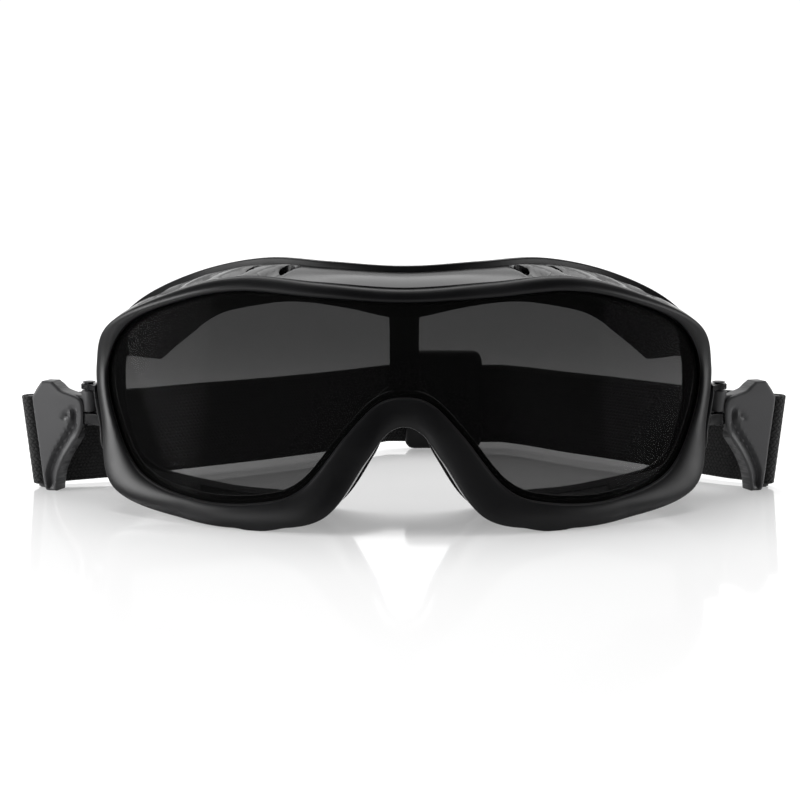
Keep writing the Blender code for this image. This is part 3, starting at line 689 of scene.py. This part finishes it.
def build_face_layers(plastic, sponge, lined):
    steps = RING_STEPS
    edge = spline(whole(FLANGE_EDGE), steps, True)
    frame_hole = facing(FRAME_OPENING, FRAME_FACING, steps)
    foam_hole = facing(FOAM_OPENING, FOAM_FACING, steps)
    plate = lofted("face_frame", face_ring(edge, frame_hole, GAP, GAP + PLATE_THICKNESS, (0.45, 0.35)), True)
    post = []
    near, far = GAP + 0.05, GAP + PLATE_THICKNESS - 0.05
    for k in range(25):
        z = POST_SPAN[0] + (POST_SPAN[1] - POST_SPAN[0]) * k / 24
        w = POST_HALF_WIDTH + POST_FLARE * (abs(k - 12) / 12) ** 6
        corners = [behind_face(x, z, d) for x, d in ((-w, near), (w, near), (w, far), (-w, far))]
        post.append(fillet(corners, [0.5] * 4, 4))
    combine(plate, [lofted("post", post)], "UNION")
    dress(plate, "frame", "rear_frame", plastic, 40)
    start = 2 * GAP + PLATE_THICKNESS
    foam = lofted("foam_pad", face_ring(offset(edge, 0.5), foam_hole, start, start + FOAM_THICKNESS,
                                        (0.6, 0.7), bulge=0.35), True)
    dress(foam, "frame", "face_foam", sponge, 60)
    swell(foam, FOAM_SECTION)
    start += FOAM_THICKNESS + 0.1
    lining = lofted("fleece_facing", face_ring(offset(edge, 0.6), offset(foam_hole, -0.1), start,
                                               start + LINING_THICKNESS, (0.3, 0.7), crown=0.5), True)
    dress(lining, "frame", "foam_lining", lined, 60)
    swell(lining, LINING_SECTION)


# ---- hinges and clips

def clip_frame(side):
    """Unit vectors of a clip in plan: along it from the hinge, and out of its face."""
    a = radians(CLIP_ANGLE)
    return (side * cos(a), sin(a)), (side * sin(a), -cos(a))


def clip_point(side, s, t):
    along, out = clip_frame(side)
    return (side * HINGE[0] + s * along[0] + t * out[0], HINGE[1] + s * along[1] + t * out[1])


def slot_edge(z):
    """How far the clip's strap edge is from the hinge at height z."""
    return 16.7 - CLIP_LEAN * (25.7 - z)


def bar_centre(z):
    return slot_edge(z) + 0.35 + WEB_THICKNESS + 0.3 + BAR_RADIUS, 0.2 - CLIP_HALF_THICKNESS


def build_mount(shell, side, material):
    name = SIDES[side]
    span = shell.span(side, 4 * shell.steps, 8 * shell.steps)
    rows = 36
    pad = []
    for k in range(rows + 1):
        z = MOUNT_SPAN[0] + (MOUNT_SPAN[1] - MOUNT_SPAN[0]) * k / rows
        place = shell.station(2, z, *span)
        end = min(k, rows - k) / 4
        round_off = 1 - sqrt(max(0.0, 1 - max(0.0, 1 - end) ** 2))
        boss = 0.5 * exp(-((z - 16.0) / 2.2) ** 2)
        far = -GAP - (MOUNT_THICKNESS - 0.3 + boss) * (1 - 0.6 * round_off)
        g0, g1 = 0.5 + 0.05 * round_off, 0.88 - 0.05 * round_off
        corners = [shell.between(place, g, d) for g, d in ((g0, -GAP), (g1, -GAP), (g1, far), (g0, far))]
        pad.append(fillet(corners, [0.2, 0.2, 1.0, 1.3], 5))
    mount = lofted(f"{name}_hinge_block", pad)
    x, y = side * HINGE[0], HINGE[1]
    lugs = []
    for (z0, z1), reach in zip((LOWER_LUG, UPPER_LUG), LUG_INNER):
        inner = side * reach
        arc = [(x + side * KNUCKLE_RADIUS * cos(a), y + KNUCKLE_RADIUS * sin(a))
               for a in [pi * (k / 16 - 0.5) for k in range(17)]]
        outline = arc + [(inner, y + KNUCKLE_RADIUS), (inner, y - LUG_ROOT)]
        lugs.append(lofted("lug", prism_z(outline, z0, z1, 0.3)))
    combine(mount, lugs, "UNION")
    bore = lofted("bore", prism_z(circle(x, y, PIN_RADIUS + PIN_CLEARANCE), 10, 40))
    combine(mount, [bore], "DIFFERENCE")
    dress(mount, "frame", f"{name}_hinge_mount", material, 35)


def build_pin(side, material):
    x, y = side * HINGE[0], HINGE[1]
    name = SIDES[side]
    foot, head = PIN_FOOT, UPPER_LUG[1] + GAP
    profile = [(foot, 0.8), (foot + 0.15, 1.1), (foot + 0.35, PIN_RADIUS), (head, PIN_RADIUS),
               (head, 1.75), (head + 0.1, 1.85), (head + 0.2, 1.8), (head + 0.32, 1.5),
               (head + 0.4, 0.9), (head + 0.42, 0.4)]
    sections = [[(px, py, z) for px, py in circle(x, y, r)] for z, r in profile]
    dress(lofted(f"{name}_pin", sections), "frame", f"{name}_hinge_pin", material, 35)


def distance_to(points, outline):
    """Least distance from each point to a dense outline."""
    d = np.asarray(points)[:, None, :] - np.asarray(outline)[None, :, :]
    return np.sqrt((d ** 2).sum(axis=2)).min(axis=1)


def dense(points, spacing=0.08):
    """Polyline filled in to an even spacing."""
    out = []
    for p, q in zip(points, points[1:]):
        count = max(1, int(dist(p, q) / spacing))
        out += [mix(p, q, k / count) for k in range(count)]
    return out + [points[-1]]


def clip_plate(side):
    """Sections of the clip's plate, tip to top, with its flute, dimple and rounded edges."""
    half = CLIP_HALF_THICKNESS
    inner, outer = spline(CLIP_INNER_EDGE, 8, False), spline(CLIP_OUTER_EDGE, 8, False)
    (inner_s, inner_z), (outer_s, outer_z) = zip(*inner), zip(*outer)
    border = dense(inner + outer[::-1] + [inner[0]])
    flute_edge = dense([p for p in inner if p[1] < FLUTE_TOP])
    top = CLIP_INNER_EDGE[-1][1]
    levels = [top * (0.5 - 0.5 * cos(pi * k / 110)) for k in range(111)]
    slant = Vector((0.5, -0.86))
    sections = []
    for z in levels:
        s_in, s_out = np.interp(z, inner_z, inner_s), np.interp(z, outer_z, outer_s)
        width = s_out - s_in
        line = [s_in + width * (0.5 - 0.5 * cos(pi * k / 30)) for k in range(31)]
        spots = [(s, z) for s in line]
        edge_gap = distance_to(spots, border)
        flute_gap = distance_to(spots, flute_edge)
        r = CLIP_ROUNDING
        front, back = [], []
        for s, e, w in zip(line, edge_gap, flute_gap):
            drop = r - sqrt(max(r * r - (r - min(e, r)) ** 2, 0.0))
            w /= min(1.0, width / 5.2)
            flute = FLUTE_DEPTH * smooth((FLUTE_WIDTH - w) / 0.9)
            flute *= min(1.0, max(0.0, (w - 0.45) / 2.5)) ** 1.1
            flute *= smooth((FLUTE_TOP - z) / 3.0) * smooth((z + 0.5) / 3.0)
            if s < CLIP_ROOT:
                flute *= 0.35
            d = Vector((s - DIMPLE_AT[0], z - DIMPLE_AT[1]))
            run, off = d.dot(slant), d.dot(Vector((-slant.y, slant.x)))
            dimple = DIMPLE_DEPTH * exp(-(run / 1.5) ** 4 - (off / 0.45) ** 2)
            shoulder = SHOULDER_DEPTH * smooth((z - SHOULDER_FOOT) / 4.0)
            front.append((s, half + CLIP_CROWN - drop - flute - dimple - shoulder))
            back.append((s, APRON_BACK if s < CLIP_ROOT and z > 14 else -half + 0.5 * drop))
        sections.append([clip_point(side, s, t) + (z,) for s, t in front + back[::-1]])
    return sections


def build_clip(side, material):
    name = SIDES[side]
    clip = lofted(f"{name}_clip", clip_plate(side))
    x, y = side * HINGE[0], HINGE[1]
    knuckle = lofted("knuckle", prism_z(circle(x, y, KNUCKLE_RADIUS), *KNUCKLE, 0.4))
    link = []
    for s in (0.0, 1.5, 3.0, 4.5):
        grow = 0.35 * smooth((s - 1.5) / 3)
        corners = [clip_point(side, s, t) + (z,) for t, z in
                   ((-1.8, 23.2), (1.8 + grow, 23.2), (1.8 + grow, 27.5 + grow), (-1.8, 27.5 + grow))]
        link.append(fillet(corners, [0.7] * 4, 4))
    bar = []
    for z in (BRIDGE[0] + 0.3, BAR_TOP - 0.4, BAR_TOP):
        s, t = bar_centre(z)
        r = BAR_RADIUS - (0.35 if z == BAR_TOP else 0)
        bar.append([clip_point(side, s + ds, t + dt) + (z,) for ds, dt in circle(0, 0, r, 32)])
    s, t = bar_centre(BRIDGE[1])
    arm = [clip_point(side, ps, pt) for ps, pt in ((11.2, t - 0.2), (11.2, t + 1.4), (s, t + 1.2),
                                                   (s + 1.2, t), (s, t - 1.2))]
    arm = lofted("arm", prism_z(arm, *BRIDGE, 0.25))
    combine(clip, [lofted("link", link), knuckle, arm, lofted("bar", bar)], "UNION")
    bore = lofted("bore", prism_z(circle(x, y, PIN_RADIUS + PIN_CLEARANCE), 15, 40))
    combine(clip, [bore], "DIFFERENCE")
    dress(clip, f"{name}_outrigger", f"{name}_outrigger", material, 38)


# ---- strap and slider

def fold_points(side, z):
    """Webbing centre line at a clip: sewn leg, turn round the bar, then the start of the long leg."""
    along, out = clip_frame(side)
    s0, t0 = bar_centre(z)
    r = BAR_RADIUS + 0.3 + WEB_THICKNESS / 2
    h = radians(STRAP_HEADING[side])
    v = (-side * cos(h), sin(h))
    vs, vt = v[0] * along[0] + v[1] * along[1], v[0] * out[0] + v[1] * out[1]
    leave = atan2(vs, -vt)
    turn = [(s0 + r * cos(a), t0 + r * sin(a))
            for a in [pi + (leave - pi) * k / 12 for k in range(13)]]
    start = turn[-1]
    pitch = WEB_THICKNESS + WEB_GAP
    length = LEG_LENGTH[side]
    leg = [(start[0] + q * vs + pitch * vt, start[1] + q * vt - pitch * vs)
           for q in (length, 0.55 * length + 3.5, 7.5)]
    neck = (s0 - r - 0.25, t0 - 1.7)
    back = [(start[0] + q * vs, start[1] + q * vt) for q in (7.5, 0.55 * length + 3.5, length)]
    return [clip_point(side, s, t) for s, t in leg + [neck] + turn + back]


def left_line(z):
    pitch = (WEB_THICKNESS + WEB_GAP) / 2
    run = [(x, RUN_DEPTH + pitch) for x in (RUN_LEFT, 1.0, 7.0, SLIDER_CENTRE - 0.15)]
    fold = fold_points(-1, z)
    return fold[:-1] + spline([fold[-1]] + LEFT_PATH + run, 3, False)


def right_line(z):
    """Both layers of the right half: slider to clip and back to the slider."""
    pitch = WEB_THICKNESS + WEB_GAP
    run = [(x, RUN_DEPTH) for x in (RUN_RIGHT, 25.0, 19.0, SLIDER_CENTRE + 0.15)]
    fold = fold_points(1, z)
    inner_leg, outer_leg = fold[0], fold[-1]
    centre = spline([mix(inner_leg, outer_leg, 0.5)] + RIGHT_PATH + run, 3, False)
    outer, inner = [], []
    for i, (x, y) in enumerate(centre):
        p, q = centre[max(i - 1, 0)], centre[min(i + 1, len(centre) - 1)]
        dx, dy = q[0] - p[0], q[1] - p[1]
        length = hypot(dx, dy)
        nx, ny = dy / length * pitch / 2, dx / length * pitch / 2
        outer.append((x + nx, y - ny))
        inner.append((x - nx, y + ny))
    if dist(outer[0], outer_leg) > dist(inner[0], outer_leg):
        outer, inner = inner, outer
    return list(reversed(inner))[:-1] + fold[1:-1] + outer[1:]


def strap_edges(side, build):
    """Matching points of the webbing's low and high edges; only the fold at the clip leans."""
    level = build(FOLD_FOOT + WEB_WIDTH / 2)
    lines = []
    for z in (FOLD_FOOT, FOLD_FOOT + WEB_WIDTH):
        lines.append([mix(p, q, smooth((side * p[0] - 78) / 24)) for p, q in zip(level, build(z))])
    rise = BACK_FOOT - FOLD_FOOT
    feet = [FOLD_FOOT + rise * smooth((HINGE[0] + 16 - side * x) / 45) for x, _ in level]
    return lines[0], lines[1], feet


def even(points, spacing):
    """Polyline resampled smoothly to an even spacing."""
    fine = spline(points, 6, False)
    run = [0.0]
    for p, q in zip(fine, fine[1:]):
        run.append(run[-1] + dist(p[:4], q[:4]) / 1.414)
    at = np.linspace(0, run[-1], int(run[-1] / spacing) + 1)
    columns = [np.interp(at, run, column) for column in zip(*fine)]
    return [tuple(map(float, row)) for row in zip(*columns)], at


def webbing(name, side, build):
    """Ribbed webbing with rounded edges between its two edge lines."""
    low, high, feet = strap_edges(side, build)
    track, run = even([(*a, *b, f) for a, b, f in zip(low, high, feet)], 0.9)
    across = 4 * WEB_RIBS
    half = WEB_THICKNESS / 2
    sections, lays = [], []
    for i, row in enumerate(track):
        before, after = track[max(i - 1, 0)], track[min(i + 1, len(track) - 1)]
        face, rear, marks = [], [], []
        for k in range(across + 1):
            v = 0.5 - 0.5 * cos(pi * (0.06 + 0.88 * k / across)) / cos(pi * 0.06)
            p = mix(row[0:2], row[2:4], v)
            a, b = mix(before[0:2], before[2:4], v), mix(after[0:2], after[2:4], v)
            dx, dy = b[0] - a[0], b[1] - a[1]
            length = hypot(dx, dy)
            edge = min(v, 1 - v) * WEB_WIDTH
            t = half * sqrt(max(0.0, 1 - max(0.0, 1 - edge / half) ** 2)) * 0.94 + 0.03
            t -= 0.05 * (0.5 - 0.5 * cos(2 * pi * WEB_RIBS * v)) * (edge > half)
            nx, ny = -dy / length * t, dx / length * t
            z = row[4] + v * WEB_WIDTH
            face.append((p[0] + nx, p[1] + ny, z))
            rear.append((p[0] - nx, p[1] - ny, z))
            marks.append((run[i], v * WEB_WIDTH, 0.0))
        sections.append(face + rear[::-1])
        lays.append(marks + marks[::-1])
    return lofted(name, sections, False, lays)


def build_straps(material):
    for side, build in ((-1, left_line), (1, right_line)):
        name = SIDES[side]
        strap = webbing(f"{name}_webbing", side, build)
        dress(strap, None, f"strap_{name}", material, 70)
        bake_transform(strap)


def rounded_rectangle(x0, x1, z0, z1, r, steps=8):
    out = []
    corners = ((x1 - r, z1 - r, 0), (x0 + r, z1 - r, 90), (x0 + r, z0 + r, 180), (x1 - r, z0 + r, 270))
    for cx, cz, start in corners:
        for k in range(steps + 1):
            a = radians(start + 90 * k / steps)
            out.append((cx + r * cos(a), cz + r * sin(a)))
    return out


def box_sections(x0, x1, y0, y1, z0, z1):
    return prism_z([(x0, y0), (x1, y0), (x1, y1), (x0, y1)], z0, z1)


def build_slider(material):
    x0, x1 = SLIDER_CENTRE - SLIDER_WIDTH / 2, SLIDER_CENTRE + SLIDER_WIDTH / 2
    depth = SLIDER_BACK - SLIDER_FACE
    levels = quarter_round(SLIDER_ROUNDING, 5)
    levels += [(depth / 2, 0.0)] + [(depth - y, inset) for y, inset in reversed(levels)]
    sections = []
    for y, inset in levels:
        outline = rounded_rectangle(x0 + inset, x1 - inset, SLIDER_FOOT + inset, SLIDER_TOP - inset,
                                    max(SLIDER_CORNER - inset, 0.5))
        sections.append([(x, SLIDER_FACE + y, z) for x, z in outline])
    slider = lofted("slider_sleeve", sections)
    z0, z1 = BACK_FOOT - TUNNEL_GAP, BACK_FOOT + WEB_WIDTH + TUNNEL_GAP
    tunnel = lofted("tunnel", box_sections(x0 - 2, x1 + 2, SLIDER_FACE + SLIDER_WALL,
                                           SLIDER_BACK - SLIDER_WALL, z0, z1))
    bm = bmesh.new()
    loft(bm, box_sections(SLIDER_CENTRE + 6.3, SLIDER_CENTRE + 7.7, SLIDER_FACE - 2, SLIDER_FACE + 3,
                          z0 + 1.2, z1 - 1.2), False)
    for side in (-1, 1):
        a, b = sorted((SLIDER_CENTRE + side * 1.6, SLIDER_CENTRE + side * 9.4))
        outline = rounded_rectangle(a, b, z0 + 1.2, z1 - 1.2, 1.2, 5)
        loft(bm, [[(x, y, z) for x, z in outline] for y in (SLIDER_BACK - 3, SLIDER_BACK + 2)], False)
    combine(slider, [tunnel, new_object("windows", bm)], "DIFFERENCE")
    dress(slider, "slider", "strap_slider", material, 35)


# ---- materials

class Nodes:
    """Small helper that adds shader nodes to one material."""

    def __init__(self, name, colour, roughness, **sockets):
        self.material = bpy.data.materials.new(name)
        self.material.use_nodes = True
        self.tree = self.material.node_tree
        self.shader = self.tree.nodes["Principled BSDF"]
        self.shader.inputs["Base Color"].default_value = (*colour, 1.0)
        self.shader.inputs["Roughness"].default_value = roughness
        for key, value in sockets.items():
            self.shader.inputs[key.replace("_", " ")].default_value = value
        self.place = self.add("ShaderNodeTexCoord").outputs["Object"]

    def add(self, kind, **values):
        node = self.tree.nodes.new(kind)
        for key, value in values.items():
            if key in node.inputs:
                node.inputs[key].default_value = value
            else:
                setattr(node, key, value)
        return node

    def link(self, a, b):
        self.tree.links.new(a, b)

    def noise(self, scale, detail=3.0, roughness=0.5, vector=None):
        node = self.add("ShaderNodeTexNoise", Scale=scale, Detail=detail, Roughness=roughness)
        self.link(vector or self.place, node.inputs["Vector"])
        return node.outputs["Fac"]

    def cells(self, scale):
        node = self.add("ShaderNodeTexVoronoi", Scale=scale)
        self.link(self.place, node.inputs["Vector"])
        return node.outputs["Distance"]

    def math(self, operation, a, b=None, c=None):
        node = self.add("ShaderNodeMath", operation=operation)
        for socket, value in zip(node.inputs, (a, b, c)):
            if value is None:
                continue
            if isinstance(value, (int, float)):
                socket.default_value = value
            else:
                self.link(value, socket)
        return node.outputs[0]

    def ramp(self, source, low, high, to_low=0.0, to_high=1.0):
        limits = {"From Min": low, "From Max": high, "To Min": to_low, "To Max": to_high}
        node = self.add("ShaderNodeMapRange", interpolation_type="SMOOTHSTEP", **limits)
        self.link(source, node.inputs["Value"])
        return node.outputs["Result"]

    def blend_colour(self, factor, a, b):
        node = self.add("ShaderNodeMix", data_type="RGBA")
        self.link(factor, node.inputs["Factor"])
        for socket, value in ((node.inputs[6], a), (node.inputs[7], b)):
            if isinstance(value, tuple):
                socket.default_value = (*value, 1.0)
            else:
                self.link(value, socket)
        return node.outputs[2]

    def colour(self, source):
        self.link(source, self.shader.inputs["Base Color"])

    def roughness(self, source):
        self.link(source, self.shader.inputs["Roughness"])

    def bump(self, *layers):
        """Stacks height maps; each layer is a height source and its depth in millimetres."""
        previous = None
        for source, depth in layers:
            node = self.add("ShaderNodeBump", Strength=1.0, Distance=depth * MM)
            self.link(source, node.inputs["Height"])
            if previous is not None:
                self.link(previous, node.inputs["Normal"])
            previous = node.outputs["Normal"]
        self.link(previous, self.shader.inputs["Normal"])


def moulded(name, colour, rough, grain, grain_depth, haze=0.3, gloss=DULL):
    """Moulded plastic: faint flow haze, fine grain, dust specks and uneven polish."""
    m = Nodes(name, colour, rough, Specular_IOR_Level=gloss)
    flow = m.noise(45.0, 4.0, 0.55)
    fine = m.noise(grain, 2.0, 0.6)
    specks = m.ramp(m.noise(2600.0, 1.0), 0.74, 0.82)
    pale = tuple(min(1.0, c * (1 + haze) + 0.002) for c in colour)
    shade = m.blend_colour(m.ramp(flow, 0.35, 0.7), colour, pale)
    m.colour(m.blend_colour(m.math("MULTIPLY", specks, 0.35), shade, tuple(c + 0.02 for c in colour)))
    polish = m.ramp(flow, 0.3, 0.7, rough * 0.85, rough * 1.2)
    m.roughness(m.math("ADD", polish, m.math("MULTIPLY", specks, 0.15)))
    m.bump((fine, grain_depth), (m.noise(120.0, 2.0), grain_depth * 1.5))
    return m.material


def smoked_lens():
    m = Nodes("smoked_lens", (0.004, 0.004, 0.004), 0.03, IOR=1.5, Specular_IOR_Level=0.003)
    height = m.add("ShaderNodeSeparateXYZ")
    m.link(m.place, height.inputs[0])
    # Alpha rises with height: the lens lets more through and looks lighter towards the bottom.
    alpha_by_height = m.ramp(height.outputs["Z"], 4 * MM, 50 * MM, 0.66, 0.82)
    m.link(alpha_by_height, m.shader.inputs["Alpha"])
    smear = m.noise(38.0, 5.0, 0.6)
    m.roughness(m.ramp(smear, 0.45, 0.75, 0.02, 0.07))
    m.colour(m.blend_colour(m.ramp(m.noise(900.0, 2.0), 0.55, 0.8, 0.0, 0.5), (0.004, 0.004, 0.004),
                            (0.008, 0.008, 0.0085)))
    return m.material


def foam(name, colour, cell):
    m = Nodes(name, colour, 0.95, Sheen_Weight=0.25)
    pores = m.cells(cell)
    fine = m.noise(cell * 2.3, 3.0, 0.7)
    # Painted shade: the pits of the pores, low in the bump below, are darkened to about a third of the foam's
    # colour.
    dark = tuple(c * 0.35 for c in colour)
    m.colour(m.blend_colour(m.ramp(pores, 0.12, 0.5), dark, colour))
    m.roughness(m.ramp(fine, 0.3, 0.7, 0.88, 1.0))
    m.bump((pores, 0.35), (fine, 0.15))
    return m.material


def fleece(name, colour):
    m = Nodes(name, colour, 0.97, Sheen_Weight=0.6, Sheen_Roughness=0.5)
    tuft, fine = m.noise(750.0, 4.0, 0.65), m.noise(4200.0, 2.0, 0.7)
    # Painted shade and painted light: the colour follows the tufts' bump, half as dark in the hollows and
    # half again as light on the tops.
    m.colour(m.blend_colour(m.ramp(tuft, 0.35, 0.7), tuple(c * 0.5 for c in colour),
                            tuple(c * 1.5 for c in colour)))
    m.roughness(m.ramp(fine, 0.3, 0.7, 0.9, 1.0))
    m.bump((tuft, 0.3), (fine, 0.1))
    return m.material


def woven(name, colour, row=WEB_WIDTH / WEB_RIBS, pick=1.15):
    """Elastic webbing: rows along the strap crossed by short picks, with fuzz."""
    m = Nodes(name, colour, 0.9, Sheen_Weight=0.15, Sheen_Roughness=0.45)
    lay = m.add("ShaderNodeAttribute", attribute_name="lay").outputs["Vector"]
    split = m.add("ShaderNodeSeparateXYZ")
    m.link(lay, split.inputs[0])
    along, across = split.outputs["X"], split.outputs["Y"]
    rows = m.math("DIVIDE", across, row / 2)
    parity = m.math("MULTIPLY", m.math("MODULO", m.math("FLOOR", rows), 2.0), 0.5)
    lean = m.math("MULTIPLY", m.math("PINGPONG", rows, 1.0), 0.45)
    phase = m.math("ADD", m.math("ADD", m.math("DIVIDE", along, pick), parity), lean)
    picks = m.math("ABSOLUTE", m.math("SINE", m.math("MULTIPLY", phase, pi)))
    cords = m.math("ABSOLUTE", m.math("SINE", m.math("MULTIPLY", rows, pi)))
    weave = m.math("MULTIPLY", m.math("POWER", picks, 0.6), m.math("POWER", cords, 0.5))
    fuzz = m.noise(3800.0, 3.0, 0.7)
    worn = m.noise(160.0, 3.0, 0.6)
    dark, pale = tuple(c * 0.3 for c in colour), tuple(c * 1.7 for c in colour)
    # Painted shade: the grooves between cords and picks, low in the bump, are darkened to about a third of
    # the webbing's colour.
    shade = m.blend_colour(m.ramp(weave, 0.1, 0.9), dark, colour)
    shade = m.blend_colour(m.ramp(fuzz, 0.5, 0.8, 0.0, 0.8), shade, pale)
    m.colour(m.blend_colour(m.ramp(worn, 0.5, 0.8, 0.0, 0.25), shade, pale))
    m.roughness(m.ramp(weave, 0.0, 1.0, 1.0, 0.82))
    m.bump((weave, 0.22), (fuzz, 0.08))
    return m.material


def turned_steel():
    m = Nodes("pin_steel", (0.05, 0.05, 0.052), 0.3, Metallic=1.0)
    stretch = m.add("ShaderNodeMapping")
    stretch.inputs["Scale"].default_value = (300.0, 300.0, 9000.0)
    m.link(m.place, stretch.inputs["Vector"])
    rings = m.noise(1.0, 3.0, 0.6, stretch.outputs["Vector"])
    m.roughness(m.ramp(rings, 0.3, 0.7, 0.22, 0.42))
    m.colour(m.blend_colour(m.ramp(rings, 0.4, 0.75), (0.05, 0.05, 0.052), (0.03, 0.03, 0.031)))
    m.bump((rings, 0.01))
    return m.material


def rubber():
    m = Nodes("gasket_rubber", (0.02, 0.02, 0.02), 0.7)
    fine, broad = m.noise(1900.0, 3.0, 0.6), m.noise(140.0, 3.0, 0.5)
    m.colour(m.blend_colour(m.ramp(broad, 0.4, 0.7), (0.017, 0.017, 0.017), (0.03, 0.03, 0.031)))
    m.roughness(m.ramp(fine, 0.3, 0.7, 0.6, 0.8))
    m.bump((fine, 0.02))
    return m.material


# ---- studio

def build_floor():
    bm = bmesh.new()
    bmesh.ops.create_grid(bm, x_segments=4, y_segments=4, size=3.0)
    obj = new_object("studio_floor", bm)
    m = Nodes("white_floor", (0.9, 0.9, 0.9), 0.06, IOR=1.5)
    m.roughness(m.ramp(m.noise(6.0, 3.0), 0.3, 0.7, 0.055, 0.07))
    m.shader.inputs["Emission Color"].default_value = (1, 1, 1, 1)
    m.shader.inputs["Emission Strength"].default_value = 0.3
    obj.data.materials.append(m.material)


def softbox(name, at, aim, size, radiance):
    """Area light of this radiance that faces aim."""
    data = bpy.data.lights.new(name, "AREA")
    data.shape = "RECTANGLE"
    data.size, data.size_y = size
    data.energy = radiance * pi * size[0] * size[1]
    light = place_object(name, data)
    light.location = at
    light.rotation_euler = (Vector(aim) - Vector(at)).to_track_quat("-Z", "Y").to_euler()


def build_world():
    """White to the eye; to reflections a white backdrop behind the goggles and a dark room in front."""
    world = bpy.data.worlds.new("studio")
    bpy.context.scene.world = world
    world.use_nodes = True
    tree = world.node_tree
    add, link = tree.nodes.new, tree.links.new
    split = add("ShaderNodeSeparateXYZ")
    link(add("ShaderNodeTexCoord").outputs["Generated"], split.inputs[0])
    ramp = add("ShaderNodeMapRange")
    ramp.interpolation_type = "SMOOTHSTEP"
    for key, value in (("From Min", 0.3), ("From Max", 0.85), ("To Min", 0.06), ("To Max", 1.15)):
        ramp.inputs[key].default_value = value
    link(split.outputs["Y"], ramp.inputs["Value"])
    backdrop, seen = tree.nodes["Background"], add("ShaderNodeBackground")
    link(ramp.outputs["Result"], backdrop.inputs["Strength"])
    seen.inputs["Strength"].default_value = 1.05
    for node in (backdrop, seen):
        node.inputs["Color"].default_value = (1, 1, 1, 1)
    join = add("ShaderNodeMixShader")
    link(add("ShaderNodeLightPath").outputs["Is Camera Ray"], join.inputs[0])
    link(backdrop.outputs[0], join.inputs[1])
    link(seen.outputs[0], join.inputs[2])
    link(join.outputs[0], tree.nodes["World Output"].inputs["Surface"])


def build_camera():
    data = bpy.data.cameras.new("camera")
    data.lens = CAMERA_LENS
    camera = place_object("camera", data)
    camera.location = metres((CAMERA_SIDE, -CAMERA_DISTANCE, CAMERA_HEIGHT))
    camera.rotation_euler = (radians(90 - CAMERA_PITCH), 0, 0)
    bpy.context.scene.camera = camera


def build_studio():
    build_floor()
    build_world()
    for light in SOFTBOXES:
        softbox(*light)
    bpy.context.scene.view_settings.view_transform = "Standard"


def main():
    build_camera()
    shell = Shell(RING_STEPS)
    mount = moulded("mount_plastic", BLACK, 0.3, 3000.0, 0.008)
    clip = moulded("clip_plastic", CLIP_GREY, 0.42, 2200.0, 0.025, haze=0.15, gloss=0.3)
    build_rim(shell, moulded("rim_plastic", BLACK, 0.36, 3000.0, 0.006))
    build_housing(Shell(FINE_RING_STEPS), moulded("housing_plastic", BLACK, 0.21, 2600.0, 0.01, gloss=0.34))
    build_vent_foams(shell, foam("vent_foam", FILTER_GREY, 1100.0))
    build_lens(shell, smoked_lens())
    build_face_layers(moulded("frame_plastic", SOFT_BLACK, 0.36, 1800.0, 0.02),
                      foam("face_foam", FOAM_GREY, 1500.0), fleece("fleece_lining", FLEECE_BLACK))
    steel = turned_steel()
    for side in (-1, 1):
        build_mount(shell, side, mount)
        build_pin(side, steel)
        build_clip(side, clip)
    build_straps(woven("strap_webbing", WEB_BLACK))
    build_slider(moulded("slider_plastic", SOFT_BLACK, 0.33, 1800.0, 0.02))
    bpy.data.objects["lens_gasket"].material_slots[0].material = rubber()
    build_studio()


main()
